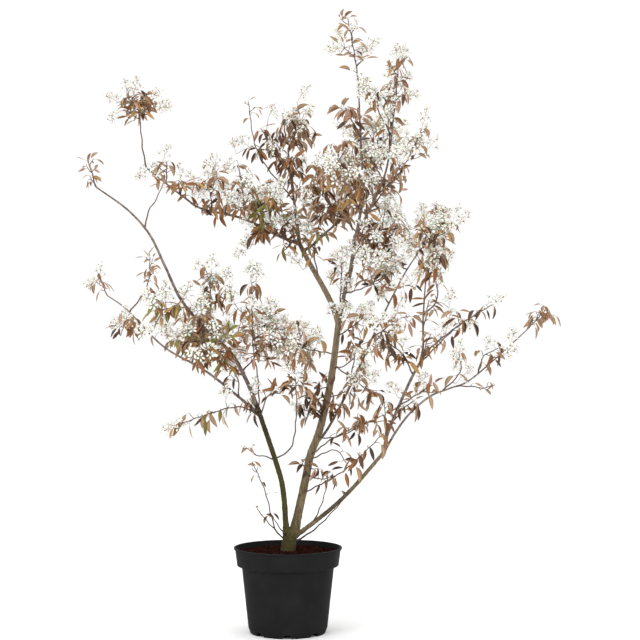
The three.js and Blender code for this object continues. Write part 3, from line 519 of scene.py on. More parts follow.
# Racemes that stand clear of the leaves on thin stalks: host, share of its length, foot and tip.
RACEMES = [
    ("far_left_tuft", 1, (-.435, -.022, 1.367), (-.461, -.018, 1.381)),
    ("far_left_tuft", 1, (-.417, .002, 1.386), (-.419, -.002, 1.411)),
    ("far_left_tuft", 1, (-.396, -.022, 1.388), (-.392, -.018, 1.411)),
    ("far_left_tuft", .9, (-.433, .004, 1.35), (-.451, 0, 1.336)),
    ("far_left_tuft", .84, (-.355, -.018, 1.344), (-.315, -.014, 1.363)),
    ("upper_left_end", .92, (-.324, -.022, 1.213), (-.308, -.026, 1.248)),
    ("upper_left_bough", .98, (-.358, .01, 1.203), (-.38, .014, 1.185)),
    ("upper_left_shoot", .9, (-.278, .016, 1.167), (-.281, .012, 1.187)),
    ("top_left_outer", .58, (-.143, .167, 1.255), (-.152, .171, 1.285)),
    ("top_left_outer", .6, (-.107, .191, 1.274), (-.123, .187, 1.287)),
    ("upper_left_back", 1, (-.142, .188, 1.241), (-.161, .192, 1.225)),
    ("leader_spray", .47, (.195, .007, 1.511), (.226, .003, 1.526)),
    ("leader_spray", .53, (.142, -.018, 1.507), (.117, -.014, 1.508)),
    ("leader_spray", .68, (.163, .005, 1.539), (.171, .001, 1.564)),
    ("upper_right_left_shoot", .84, (.198, -.13, 1.37), (.201, -.126, 1.396)),
    ("upper_right_spray", .9, (.275, -.147, 1.453), (.275, -.151, 1.48)),
    ("upper_right_spray", .21, (.287, -.164, 1.363), (.307, -.16, 1.366)),
    ("upper_right_spray", .16, (.241, -.14, 1.364), (.223, -.144, 1.356)),
    ("top_left_middle", 1, (-.057, .178, 1.351), (-.049, .182, 1.373)),
    ("top_left_spray", 1, (.019, .292, 1.412), (.047, .288, 1.447)),
    ("top_left_spray", 1, (.039, .268, 1.362), (.058, .272, 1.39)),
    ("leader_left_spray", .07, (.169, .014, 1.281), (.13, .01, 1.312)),
    ("low_left_end", .65, (-.513, .176, .911), (-.53, .18, .905)),
    ("left_front", .82, (-.315, -.211, .85), (-.332, -.215, .867)),
    ("left_front", .6, (-.298, -.214, .857), (-.298, -.21, .884)),
    ("long_left_bough", .5, (-.26, -.139, .861), (-.252, -.143, .878)),
    ("low_left_spray", .82, (-.432, .062, .808), (-.451, .066, .797)),
    ("low_left_bough", .68, (-.345, .136, .779), (-.352, .132, .803)),
    ("left_middle", 1, (-.195, -.062, .92), (-.193, -.058, .964)),
    ("left_middle", .97, (-.215, -.04, .916), (-.222, -.044, .934)),
    ("left_middle", .86, (-.161, -.072, .9), (-.154, -.068, .925)),
    ("left_top", 1, (-.092, -.138, .906), (-.092, -.142, .936)),
    ("left_top", 1, (-.076, -.162, .905), (-.074, -.158, .93)),
    ("upper_left_bough", .24, (-.086, .148, 1.031), (-.113, .144, 1.012)),
    ("low_left_outer", .89, (-.242, -.207, .552), (-.279, -.203, .544)),
    ("right_column_shoot", .28, (.404, -.168, .838), (.411, -.172, .873)),
    ("right_end", .95, (.478, -.337, .844), (.503, -.333, .853)),
    ("long_right_bough", .81, (.551, .089, .729), (.53, .085, .75)),
    ("long_right_bough", .87, (.586, .073, .739), (.592, .077, .763)),
    ("hanging_shoot", .86, (.445, -.002, .71), (.445, -.006, .736)),
    ("upper_left_fork", .71, (.038, .121, .941), (.008, .125, .973)),
    ("crown_back", .05, (.048, .171, 1.016), (.053, .167, 1.056)),
    ("leader_foot_shoot", .05, (.143, .044, .813), (.156, .048, .845)),
    ("main_stem", 1, (.13, .072, .808), (.115, .068, .837)),
    ("right_bough", .58, (.278, -.149, .613), (.266, -.145, .633)),
    ("top_left_outer", .16, (-.048, .213, 1.143), (-.053, .209, 1.172)),
    ("top_left_outer", .11, (-.02, .192, 1.149), (-.023, .196, 1.179)),
    ("left_top", .76, (-.091, -.16, .82), (-.086, -.164, .843)),
    ("left_inner", .88, (-.032, -.066, .762), (-.026, -.07, .787)),
    ("left_middle", .4, (-.201, -.121, .831), (-.206, -.125, .855)),
    ("long_left_bough", .28, (-.153, -.137, .755), (-.148, -.141, .778)),
    ("far_left_tuft", .84, (-.34, -.03, 1.345), (-.312, -.034, 1.356)),
    ("far_left_tuft", .95, (-.362, -.04, 1.372), (-.338, -.044, 1.387)),
    ("upper_left_bough", .24, (-.103, .12, .999), (-.122, .116, .99)),
]


def seeded(seed):
    """Numbers from 0 to 1 in an order that the seed fixes."""
    state = seed % 2**32

    def draw():
        nonlocal state
        state = (state * 1664525 + 1013904223) % 2**32
        return state / 2**32

    return draw


def between(low, high, random):
    return low + (high - low) * random()


def unit(direction):
    return direction / np.linalg.norm(direction)


def around(axis, angle, radius=1.0):
    """The way out from an axis at an angle round it."""
    aside = UP if abs(axis[1]) > .97 else BACK
    side = unit(np.cross(axis, aside))
    front = np.cross(axis, side)
    return radius * (side * math.cos(angle) + front * math.sin(angle))


class Path:
    """A smooth line through a few places, read by the share of its length."""

    def __init__(self, places):
        places = [np.array(place, float) for place in places]
        knots = [2 * places[0] - places[1], *places, 2 * places[-1] - places[-2]]
        t = np.linspace(0, 1, CURVE_STEPS, endpoint=False)[:, None]
        spans = []
        for before, start, end, after in zip(knots, knots[1:], knots[2:], knots[3:]):
            leave = (end - before) / 2
            arrive = (after - start) / 2
            span = start + leave * t + (3 * (end - start) - 2 * leave - arrive) * t**2
            spans.append(span + (2 * (start - end) + leave + arrive) * t**3)
        self.points = np.vstack([*spans, places[-1]])
        steps = np.linalg.norm(np.diff(self.points, axis=0), axis=1)
        self.lengths = np.concatenate([[0], np.cumsum(steps)])
        self.length = self.lengths[-1]

    def at(self, share):
        wanted = np.asarray(share, float) * self.length
        return np.stack([np.interp(wanted, self.lengths, column) for column in self.points.T], axis=-1)

    def tangent(self, share):
        near = .002
        return unit(self.at(min(1, share + near)) - self.at(max(0, share - near)))

    def sampled(self, step):
        """Points about a step apart, with the share of the length at each."""
        shares = np.linspace(0, 1, max(2, round(self.length / step)) + 1)
        return self.at(shares), shares


def path_from(row):
    """A row's path from its start or from its place on its host, a little off a host's very end."""
    if row.start is not None:
        root = np.array(row.start, float)
    else:
        root = limbs[row.on].path.at(row.at)
    if row.at == 1:
        root = root + limbs[row.on].path.tangent(1) * 2 * GAP
    return Path([root, *row.route])


def swollen(shares, length, radii, random):
    """Radii along a limb: its taper, its collar at the host, and a knuckle at each old leaf scar."""
    first, last = radii
    along = shares * length
    radius = first + (last - first) * shares
    radius *= 1 + COLLAR_SWELL * np.exp(-along / COLLAR_LENGTH)
    swell = min(SCAR_SWELL, .18 * last)
    scar = FIRST_SCAR + SCAR_SPREAD * random()
    while scar < length:
        radius += swell * np.exp(-((along - scar) / SCAR_LENGTH) ** 2)
        scar += SCAR_STEP + SCAR_SPREAD * random()
    return radius


def fused(row):
    """Whether a limb is thick to its very end, and so shares one skin with the stump."""
    return row.radii[1] >= THICK_LIMB


def knobs(stump):
    """Old cuts and buds round the stump, as short stubs of three points with their radii."""
    random = seeded(KNOB_SEED)
    for i in range(KNOB_COUNT):
        root = stump.at(between(.2, .82, random))
        out = around(UP, GOLDEN_ANGLE * i) + UP * between(-.1, .4, random)
        size = KNOB_RADIUS * between(.6, 1.3, random)
        places = np.array([root + out * STUMP_RADIUS * depth for depth in (.5, .95, 1.12)])
        yield places, np.array([size, size, size * .5])


def lay_out_limbs():
    """The stump, the fused stems and the boughs as lines. A bough's root is in the fused wood too, under a
    skirt that thins out along it, so that the two skins meet without a step."""
    stump = Path([STUMP_FOOT, STUMP_TOP])
    limbs["stump"] = SimpleNamespace(path=stump, radii=(STUMP_RADIUS, STUMP_RADIUS))
    points, shares = stump.sampled(STUMP_STEP)
    # The foot flares, the head swells where the stems part, and the last tenth rounds off.
    flare = STUMP_FLARE * (1 - shares) ** 4
    crown = STUMP_CROWN * np.exp(-((shares - .82) / .16) ** 2)
    shoulder = np.sqrt(np.clip(1 - ((shares - .9) / .1).clip(0) ** 2, .08, 1))
    LINES["wood"].append((points, (STUMP_RADIUS + flare + crown) * shoulder))
    LINES["wood"].extend(knobs(stump))
    for index, row in enumerate(LIMBS):
        path = path_from(row)
        limbs[row.name] = SimpleNamespace(path=path, radii=row.radii)
        points, shares = path.sampled(LINE_STEP)
        radius = swollen(shares, path.length, row.radii, seeded(LIMB_SEED + index))
        points[0] -= path.tangent(0) * ROOT_SINK
        if fused(row):
            LINES["wood"].append((points, rounded_end(radius)))
            continue
        LINES["boughs"].append((points, radius))
        rooted = path.length * shares < ROOT_LENGTH
        skirt = ROOT_SKIRT - ROOT_FALL * shares[rooted] * path.length / ROOT_LENGTH
        LINES["wood"].append((points[rooted], radius[rooted] + skirt))


def rounded_end(radius):
    """Closes a thick limb's tip in a dome, inside the limbs that carry on from it."""
    radius = radius.copy()
    radius[-2] *= .8
    radius[-1] *= .35
    return radius


def distance_to(point, starts, ends):
    """Shortest ways from a point to straight spans."""
    spans = ends - starts
    squares = np.maximum((spans * spans).sum(1), 1e-12)
    share = np.clip(((point - starts) * spans).sum(1) / squares, 0, 1)
    return np.linalg.norm(starts + spans * share[:, None] - point, axis=1)


def lay_out_sprays():
    """Gives each spray its stem, and the spans that its own space is measured from."""
    starts, ends, owners, girths = [], [], [], []
    for index, row in enumerate(SPRAYS):
        row.path = path_from(row)
        shares = np.linspace(0, 1, SPINE_POINTS)
        spine = row.path.at(shares[shares >= row.bare - .001 / row.path.length])
        starts.extend(spine[:-1])
        ends.extend(spine[1:])
        owners.extend([index] * (len(spine) - 1))
        girths.extend([row.girth] * (len(spine) - 1))
        row.index = index
    return SimpleNamespace(starts=np.array(starts), ends=np.array(ends), owners=np.array(owners),
                           girths=np.array(girths))


def in_own_space(point, row, spines):
    """Every point belongs to the stem that is nearest for its reach."""
    share = distance_to(point, spines.starts, spines.ends) / spines.girths
    own = share[spines.owners == row.index].min()
    return own < SPACE_MARGIN and own <= share.min() + 1e-9


def limb_spans():
    """The limbs as straight spans with their radii, for twigs to keep clear of."""
    starts, ends, radii = [], [], []
    for item in limbs.values():
        points, shares = item.path.sampled(SPAN_STEP)
        starts.extend(points[:-1])
        ends.extend(points[1:])
        radii.extend(item.radii[0] + (item.radii[1] - item.radii[0]) * shares[1:])
    return SimpleNamespace(starts=np.array(starts), ends=np.array(ends), radii=np.array(radii))


def clear_of_limbs(points, spans):
    """Whether no point comes near a limb's skin."""
    room = spans.radii + TWIG_CLEARANCE
    return all((distance_to(point, spans.starts, spans.ends) > room).all() for point in points)


def bent(root, heading, length, rise):
    """Points of a shoot that sets out low and turns up towards its end, or arches over where rise is
    below nothing."""
    count = max(3, round(length / NODE_STEP))
    shares = np.linspace(0, 1, count + 1)[:, None]
    return root + heading * length * shares + UP * rise * length * (shares**2 - shares)


def zigzag(points, along):
    """Turns a shoot a little to one side and then the other at its leaf scars, two steps apart."""
    turns = np.sin(np.arange(len(points)) * math.pi / 2)[:, None]
    turns[-1] = 0
    return points + around(along, 0, ZIGZAG) * turns


def tapered(kind, points, first, last):
    """Lays down a line of a kind, with its radius at both ends."""
    LINES[kind].append((points, np.linspace(first, last, len(points))))


def turn_to(along, normal):
    """The turn that lays a shape's +Y along a direction, with its +Z as near the normal as can be."""
    along = unit(along)
    across = np.cross(along, normal)
    across = unit(across) if np.linalg.norm(across) > 1e-6 else around(along, 0)
    return Matrix(np.stack([across, along, np.cross(across, along)], axis=1).tolist()).to_quaternion()


def dealt_tint(row, random):
    """A tint from the spray's hand, each card as likely as the next."""
    hand = HANDS[row.tint]
    return hand[int(random() * len(hand))]


def grow_leaf(row, node, axis, angle, size, random):
    """A leaf on its petiole: the petiole arches out and the blade follows it level or hangs from it."""
    outward = around(axis, angle)
    hang = row.tuft_hang + LEAF_SPREAD * (random() - .5)
    # The blade leans out and a little along the shoot, and the more it hangs, the less it does so.
    blade = unit(.75 * outward + .5 * (1 - hang) * axis - 1.1 * hang * UP)
    leave = unit(outward + .45 * axis)
    stalk = PETIOLE_LENGTH * between(.8, 1.3, random)
    elbow = node + leave * stalk * .55
    base = elbow + unit(leave + 1.3 * blade) * stalk * .5
    petiole = np.array([node, elbow, base, base + blade * PETIOLE_SEAT])
    tapered("stalks", petiole, PETIOLE_RADIUS, PETIOLE_RADIUS * .8)
    roll = LEAF_ROLL * (random() - .5)
    normal = unit(axis - blade * axis.dot(blade)) if abs(axis.dot(blade)) < .99 else outward
    normal = normal * math.cos(roll) + np.cross(blade, normal) * math.sin(roll)
    tint = row.tuft_tint if random() < TUFT_TINT_SHARE else dealt_tint(row, random)
    LEAVES[tint].append((base, turn_to(blade, normal), size, int(random() * 4)))


def grow_raceme(root, lean, length, random):
    """A spike of flowers, each on a thin stalk of its own, with buds still shut at its tip."""
    points = bent(root, lean, length, RACEME_BEND)
    tapered("stalks", points, PEDICEL_RADIUS * 1.6, PEDICEL_RADIUS)
    spine = Path(points)
    count = FEWEST_FLOWERS + int(4 * random())
    phase = math.tau * random()
    for i in range(count):
        share = .2 + .8 * i / (count - 1)
        # The flowers stand wide at the foot of the spike and close in towards its tip.
        spread = 1.15 - .75 * share
        out = unit(around(lean, phase + GOLDEN_ANGLE * i, math.sin(spread)) + lean * math.cos(spread))
        node = spine.at(share)
        stalk = PEDICEL_LENGTH * (1.25 - .6 * share) * between(.85, 1.15, random)
        end = node + out * stalk + UP * PEDICEL_LIFT
        tapered("stalks", np.array([node, end]), PEDICEL_RADIUS, PEDICEL_RADIUS)
        facing = unit(out + .35 * UP)
        if share > .9 and random() < .5:
            BUDS.append((end, turn_to(facing, UP), between(.8, 1.1, random), 0))
        else:
            turn = turn_to(around(facing, math.tau * random()), facing)
            FLOWERS.append((end, turn, between(.85, 1.15, random), int(random() * 3)))


def grow_tuft(row, knee, heading, blooms, random):
    """Leaves that spiral round the last of a shoot, fewer where a raceme grows out of its end."""
    axis = unit(.75 * heading + .5 * UP)
    count = max(0 if blooms else 1, round(row.leaves * between(.6, 1.4, random)) - blooms)
    row.tuft_tint = dealt_tint(row, random)
    row.tuft_hang = row.hang + HANG_SPREAD * (random() - .5)
    phase = math.tau * random()
    for i in range(count):
        node = knee - heading * min(INTERNODE, TUFT_LENGTH / count) * (count - 1 - i)
        size = row.young * between(.78, 1.18, random) * (1 - .3 * i / count)
        grow_leaf(row, node, axis, phase + GOLDEN_ANGLE * i + .5 * (random() - .5), size, random)
    if blooms:
        aside = around(UP, math.tau * random(), .45 * random())
        lean = unit(.75 * heading + .6 * UP + aside)
        grow_raceme(knee, lean, RACEME_LENGTH * between(.8, 1.2, random), random)


def grow_twig(row, share, azimuth, spines, spans, random):
    """A twig by the branching rule, with a tuft at its end and spurs on its way, if its space has room."""
    root = row.path.at(share)
    tangent = row.path.tangent(share)
    heading = around(tangent, azimuth, math.sin(TWIG_SPREAD)) + tangent * math.cos(TWIG_SPREAD)
    heading = unit(heading + UP * TWIG_LIFT)
    # Twigs are longest a little before the middle of the leafy part.
    in_spray = (share - row.bare) / (1 - row.bare)
    fullness = .6 + .4 * math.sin(math.pi * in_spray**.8)
    reach = row.girth * fullness * between(.8, 1.1, random)
    length = max(SHORTEST_TWIG, reach - LEAF_LENGTH / 2)
    knee = root + heading * length
    own_random = seeded(int(random() * 1e9))
    points = zigzag(bent(root, heading, length, TWIG_BEND), heading)
    if spines and not in_own_space(knee, row, spines):
        return False
    if not clear_of_limbs(points[len(points) // 2:], spans):
        return False
    tapered("twigs", points, TWIG_RADIUS * (1 + 4 * length), TWIG_TIP_RADIUS)
    grow_tuft(row, knee, heading, own_random() < row.bloom, own_random)
    grow_spurs(row, Path(points), FIRST_TWIG_SPUR, own_random)
    return True


def grow_spurs(row, path, along, random):
    """Short spurs in a spiral up a shoot, from a length along it: each bears leaves and often a raceme."""
    azimuth = math.tau * random()
    while along < path.length - .4 * SPUR_STEP:
        share = along / path.length
        tangent = path.tangent(share)
        heading = unit(around(tangent, azimuth) + .6 * tangent + .25 * UP)
        length = SPUR_LENGTH * between(.5, 1.5, random)
        root = path.at(share)
        tip = root + heading * length
        spur = np.array([root, root + heading * length * .5, tip])
        tapered("twigs", spur, TWIG_TIP_RADIUS * 1.2, TWIG_TIP_RADIUS)
        grow_tuft(row, tip, heading, random() < row.bloom * SPUR_BLOOM, random)
        azimuth += GOLDEN_ANGLE
        along += SPUR_STEP * between(.75, 1.25, random)


def grow_spray(row, spines, spans):
    """A spray's stem with a tuft of its own at the tip, and the twigs that it has room for. A shoot has no
    space of its own, and so no spines."""
    random = seeded(row.seed)
    points, shares = row.path.sampled(NODE_STEP)
    points = zigzag(points, row.path.tangent(.5))
    # A stem that carries a limb on is no thicker than the limb's end, and each stem swells at its foot.
    host = limbs[row.on].radii[1] if row.at == 1 else row.stem
    first = min(row.stem, host) * (1 + .5 * min(.2, row.path.length))
    radius = first + (STEM_TIP_RADIUS - first) * shares
    radius *= 1 + .3 * np.exp(-shares * row.path.length / .006)
    LINES["twigs"].append((points, radius))
    grow_tuft(row, points[-1], row.path.tangent(1), random() < row.bloom, random)
    grow_spurs(row, row.path, max(FIRST_SPUR, row.bare * row.path.length), random)
    phase = math.tau * random()
    wanted = round(TWIGS_FOR_ONE * row.twigs)
    borne = 0
    for i in range(PLACES_TRIED * wanted):
        step = (i % wanted + between(.4, .7, random)) / wanted
        share = row.bare + (1 - row.bare) * step
        borne += grow_twig(row, share, phase + GOLDEN_ANGLE * i, spines, spans, random)
        if borne == wanted:
            break
    limbs[row.name] = SimpleNamespace(path=row.path, radii=(STEM_RADIUS, STEM_TIP_RADIUS))


def grow_lone_raceme(host, share, foot, tip, random):
    """A raceme on a thin stalk that arches out of its host."""
    root = limbs[host].path.at(share)
    foot = np.array(foot)
    way = np.array(tip) - foot
    length = np.linalg.norm(way)
    stalk = Path([root, (root + foot) / 2 + UP * .1 * np.linalg.norm(foot - root), foot])
    tapered("twigs", stalk.sampled(NODE_STEP)[0], TWIG_TIP_RADIUS, TWIG_TIP_RADIUS * .8)
    grow_raceme(foot, way / length, max(.8 * RACEME_LENGTH, length), random)


def grow_plant():
    """Lays out the limbs and grows the sprays, the shoots and the lone racemes on them, in this order."""
    lay_out_limbs()
    spines = lay_out_sprays()
    spans = limb_spans()
    for row in SPRAYS:
        grow_spray(row, spines, spans)
    for row in SHOOTS:
        row.path = path_from(row)
        grow_spray(row, None, spans)
    for index, row in enumerate(RACEMES):
        grow_lone_raceme(*row, seeded(RACEME_SEED + index))


def socket_named(sockets, name):
    """A socket by its number or its name, among those that the node's settings leave in use."""
    if isinstance(name, int):
        return sockets[name]
    return next(socket for socket in sockets if socket.enabled and socket.name == name)


def add(tree, kind, links=None, **settings):
    """Adds a node with its settings, and gives each input a value, a socket or a node's first output."""
    node = tree.nodes.new(kind)
    for name, value in settings.items():
        setattr(node, name, value)
    for name, value in (links or {}).items():
        socket = socket_named(node.inputs, name)
        if isinstance(value, bpy.types.Node):
            value = next(output for output in value.outputs if output.enabled)
        if isinstance(value, bpy.types.NodeSocket):
            tree.links.new(value, socket)
        else:
            socket.default_value = value
    return node


def shape_tree(name, inputs):
    """A Geometry Nodes tree with a geometry input and named inputs of the given kinds."""
    tree = bpy.data.node_groups.new(name, "GeometryNodeTree")
    tree.interface.new_socket("Geometry", in_out="INPUT", socket_type="NodeSocketGeometry")
    for title, kind in inputs.items():
        tree.interface.new_socket(title, in_out="INPUT", socket_type="NodeSocket" + kind)
    tree.interface.new_socket("Geometry", in_out="OUTPUT", socket_type="NodeSocketGeometry")
    return tree, add(tree, "NodeGroupInput")


def finish_tree(tree, shape, material):
    """Ends a tree in realized instances with their material."""
    real = add(tree, "GeometryNodeRealizeInstances", {"Geometry": shape})
    painted = add(tree, "GeometryNodeSetMaterial", {"Geometry": real, "Material": material})
    add(tree, "NodeGroupOutput", {0: painted})


def give_tree(holder, tree, values):
    """Puts a tree on an object with its inputs' values, each set by its socket's identifier."""
    modifier = holder.modifiers.new(tree.name, "NODES")
    modifier.node_group = tree
    for item in tree.interface.items_tree:
        if item.name in values:
            modifier[item.identifier] = values[item.name]


def placed_object(name, data):
    """An object in the scene that holds a mesh, a lamp or a camera."""
    holder = bpy.data.objects.new(name, data)
    bpy.context.scene.collection.objects.link(holder)
    return holder


def mesh_of(name, points, faces=(), edges=()):
    mesh = bpy.data.meshes.new(name)
    mesh.from_pydata(points, edges, faces)
    return mesh


def finished_piece(name, holder, slot, *replaced):
    """Turns an object with its modifiers into a plain piece that rides on the plant's one body."""
    bpy.context.view_layer.update()
    evaluated = holder.evaluated_get(bpy.context.evaluated_depsgraph_get())
    mesh = bpy.data.meshes.new_from_object(evaluated)
    bpy.data.objects.remove(holder)
    mesh.name = name
    piece = placed_object(name, mesh)
    for title in ("girth", "turn", "size", "shape", "underside"):
        if title in mesh.attributes:
            mesh.attributes.remove(mesh.attributes[title])
    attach(piece, "root")
    if replaced:
        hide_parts(*replaced)
    return piece


def line_mesh(name, lines):
    """Open chains of edges, each point with the radius that the swept line has there."""
    points = np.vstack([line[0] for line in lines])
    radii = np.concatenate([line[1] for line in lines])
    ends = np.cumsum([len(line[0]) for line in lines])
    first = np.setdiff1d(np.arange(len(points) - 1), ends - 1)
    mesh = mesh_of(name, points.tolist(), edges=np.stack([first, first + 1], axis=1).tolist())
    mesh.attributes.new("girth", "FLOAT", "POINT").data.foreach_set("value", radii.astype(np.float32))
    return mesh


def sweep_tree():
    """Sweeps each chain of edges as a round line of its own radius."""
    tree, given = shape_tree("round lines", {"Sides": "Int", "Material": "Material"})
    chains = add(tree, "GeometryNodeMeshToCurve", {"Mesh": given.outputs["Geometry"]})
    girth = add(tree, "GeometryNodeInputNamedAttribute", {"Name": "girth"}, data_type="FLOAT")
    ring = add(tree, "GeometryNodeCurvePrimitiveCircle",
               {"Resolution": given.outputs["Sides"], "Radius": 1.0})
    swept = add(tree, "GeometryNodeCurveToMesh",
                {"Curve": chains, "Profile Curve": ring, "Scale": girth, "Fill Caps": True})
    finish_tree(tree, swept, given.outputs["Material"])
    return tree


def relief_tree():
    """Raises the bark's ridges and hollows, drawn out along the grain, with finer pitting over them."""
    tree, given = shape_tree("bark relief",
                             {"Ridge": "Float", "Depth": "Float", "Foot": "Float", "Material": "Material"})
    place = add(tree, "GeometryNodeInputPosition")
    drawn_out = add(tree, "ShaderNodeVectorMath", {0: place, 1: (1, 1, .22)}, operation="MULTIPLY")
    pitch = add(tree, "ShaderNodeMath", {0: 1.0, 1: given.outputs["Ridge"]}, operation="DIVIDE")
    ridges = add(tree, "ShaderNodeTexNoise",
                 {"Vector": drawn_out, "Scale": pitch, "Detail": 3.0, "Roughness": .6})
    height = add(tree, "ShaderNodeMapRange", {"Value": ridges.outputs[0], "From Min": .3, "From Max": .7,
                                              "To Min": -1.0, "To Max": 1.0})
    level = add(tree, "ShaderNodeSeparateXYZ", {0: place})
    deeper = add(tree, "ShaderNodeMapRange", {"Value": level.outputs[2], "From Min": .32, "From Max": .24,
                                              "To Min": 1.0, "To Max": given.outputs["Foot"]})
    depth = add(tree, "ShaderNodeMath", {0: deeper, 1: given.outputs["Depth"]}, operation="MULTIPLY")
    raised = add(tree, "ShaderNodeMath", {0: height, 1: depth}, operation="MULTIPLY")
    normal = add(tree, "GeometryNodeInputNormal")
    offset = add(tree, "ShaderNodeVectorMath", {0: normal, "Scale": raised}, operation="SCALE")
    moved = add(tree, "GeometryNodeSetPosition", {"Geometry": given.outputs["Geometry"], "Offset": offset})
    smooth = add(tree, "GeometryNodeSetShadeSmooth", {"Geometry": moved})
    finish_tree(tree, smooth, given.outputs["Material"])
    return tree


def scatter_tree():
    """Puts one of a few shapes on each point, as the point says, with a material for its underside."""
    tree, given = shape_tree("shapes on points",
                             {"Shapes": "Collection", "Scale": "Float", "Material": "Material",
                              "Underside": "Material"})
    shapes = add(tree, "GeometryNodeCollectionInfo",
                 {"Collection": given.outputs["Shapes"], "Separate Children": True, "Reset Children": True})
    size = add(tree, "GeometryNodeInputNamedAttribute", {"Name": "size"}, data_type="FLOAT")
    grown = add(tree, "ShaderNodeMath", {0: size, 1: given.outputs["Scale"]}, operation="MULTIPLY")
    turn = add(tree, "GeometryNodeInputNamedAttribute", {"Name": "turn"}, data_type="QUATERNION")
    shape = add(tree, "GeometryNodeInputNamedAttribute", {"Name": "shape"}, data_type="INT")
    placed = add(tree, "GeometryNodeInstanceOnPoints",
                 {"Points": given.outputs["Geometry"], "Instance": shapes, "Pick Instance": True,
                  "Instance Index": shape, "Rotation": turn, "Scale": grown})
    real = add(tree, "GeometryNodeRealizeInstances", {"Geometry": placed})
    painted = add(tree, "GeometryNodeSetMaterial",
                  {"Geometry": real, "Material": given.outputs["Material"]})
    under = add(tree, "GeometryNodeInputNamedAttribute", {"Name": "underside"}, data_type="BOOLEAN")
    both = add(tree, "GeometryNodeSetMaterial",
               {"Geometry": painted, "Selection": under, "Material": given.outputs["Underside"]})
    add(tree, "NodeGroupOutput", {0: both})
    return tree


def point_mesh(name, spots):
    """Loose points, each with the turn, the size and the shape that stands there."""
    places, turns, sizes, shapes = zip(*spots)
    mesh = mesh_of(name, [tuple(place) for place in places])
    turns = np.array([tuple(turn) for turn in turns], np.float32).ravel()
    for title, kind, values in (("turn", "QUATERNION", turns), ("size", "FLOAT", sizes),
                                ("shape", "INT", shapes)):
        mesh.attributes.new(title, kind, "POINT").data.foreach_set("value", values)
    return mesh


def shape_set(name, meshes):
    """A set of shapes to pick from, kept out of the scene."""
    shelf = bpy.data.collections.new(name)
    for number, mesh in enumerate(meshes):
        shelf.objects.link(bpy.data.objects.new(f"{name}_{number}", mesh))
    return shelf


def clear_away(shelf):
    """Removes a set of shapes that has been used."""
    for shape in list(shelf.objects):
        bpy.data.objects.remove(shape)
    bpy.data.collections.remove(shelf)


def blade_mesh(name, outline, fold, droop, twist, thickness):
    """A thin two-sided blade of length 1 along +Y, folded on its midrib, drooping and a little twisted.
    Its outline gives the half width at each share of the length."""
    left, right, top, bottom = [], [], [], []
    points = [(0, 0, 0)]
    for share, half in outline:
        arch = -droop * share**2
        turn = twist * share
        lift = half * math.tan(fold)
        for side, row in ((-1, left), (1, right)):
            row.append(len(points))
            points.append((side * half * math.cos(turn), share, arch + lift + side * half * math.sin(turn)))
        for side, row in ((1, top), (-1, bottom)):
            row.append(len(points))
            points.append((0, share, arch + side * thickness))
    tip = len(points)
    points.append((0, 1, -droop))
    faces, under = [], []
    for middle, is_under in ((top, False), (bottom, True)):
        for side, edge in ((-1, left), (1, right)):
            ring = [(0, edge[0], middle[0])]
            ring += [(middle[i], edge[i], edge[i + 1], middle[i + 1]) for i in range(len(outline) - 1)]
            ring += [(middle[-1], edge[-1], tip)]
            flip = (side == 1) == is_under
            faces += [face[::-1] if flip else face for face in ring]
            under += [is_under] * len(ring)
    mesh = mesh_of(name, points, faces)
    mesh.attributes.new("underside", "BOOLEAN", "FACE").data.foreach_set("value", under)
    mesh.shade_smooth()
    layer = mesh.uv_layers.new(name="UVMap")
    for loop in mesh.loops:
        x, y, _ = points[loop.vertex_index]
        layer.data[loop.index].uv = (.5 + x, y)
    return mesh


def leaf_outline():
    """The half widths of a serviceberry leaf: oval, widest before the middle, with a short point."""
    shares = (.1, .25, .42, .6, .76, .9)
    return [(t, LEAF_WIDTH / 2 * math.sin(math.pi * t**.85) ** .8) for t in shares]


def leaf_shapes():
    """Four stages of a young leaf: open, half folded, arched and still nearly shut. Each has its fold,
    its droop and its twist."""
    stages = ((.35, .05, .2), (.75, .12, -.3), (.5, .2, .35), (1.1, .04, 0))
    return [blade_mesh(f"leaf_{i}", leaf_outline(), fold, droop, twist, LEAF_THICKNESS)
            for i, (fold, droop, twist) in enumerate(stages)]


def joined_mesh(name, mesh, matrices):
    """One mesh from a shape, repeated by each matrix."""
    points, faces = [], []
    for matrix in matrices:
        start = len(points)
        points += [matrix @ vertex.co for vertex in mesh.vertices]
        faces += [[start + corner for corner in polygon.vertices] for polygon in mesh.polygons]
    joined = mesh_of(name, points, faces)
    joined.shade_smooth()
    return joined


def petal_mesh(name, curl):
    """A strap-shaped petal of length 1 along +Y, cushioned on both faces, with its edges and tip curled."""
    half = PETAL_WIDTH / 2
    edge = [(0, 0, 0), (half * .8, .38, .04), (half, .74, .05 + curl), (0, 1, curl * 1.6),
            (-half * .9, .7, .04 + curl), (-half * .85, .4, .05)]
    count = len(edge)
    points = [*edge, (0, .55, .03), (0, .55, -.03)]
    faces = [(k, (k + 1) % count, count) for k in range(count)]
    faces += [((k + 1) % count, k, count + 1) for k in range(count)]
    return mesh_of(name, points, faces)


def petal_shapes():
    """Five narrow petals round a flower's heart, in three stages from cupped to flat."""
    stages = []
    for i, (opening, curl) in enumerate(((.95, .12), (1.3, -.04), (1.55, -.12))):
        petal = petal_mesh(f"petal_{i}", curl)
        lean = Matrix.Rotation(math.pi / 2 - opening, 4, "X") @ Matrix.Translation((0, .12, .06))
        turns = [Matrix.Rotation(math.tau * k / PETAL_COUNT, 4, "Z") for k in range(PETAL_COUNT)]
        stages.append(joined_mesh(f"petals_{i}", petal, [turn @ lean for turn in turns]))
    return stages


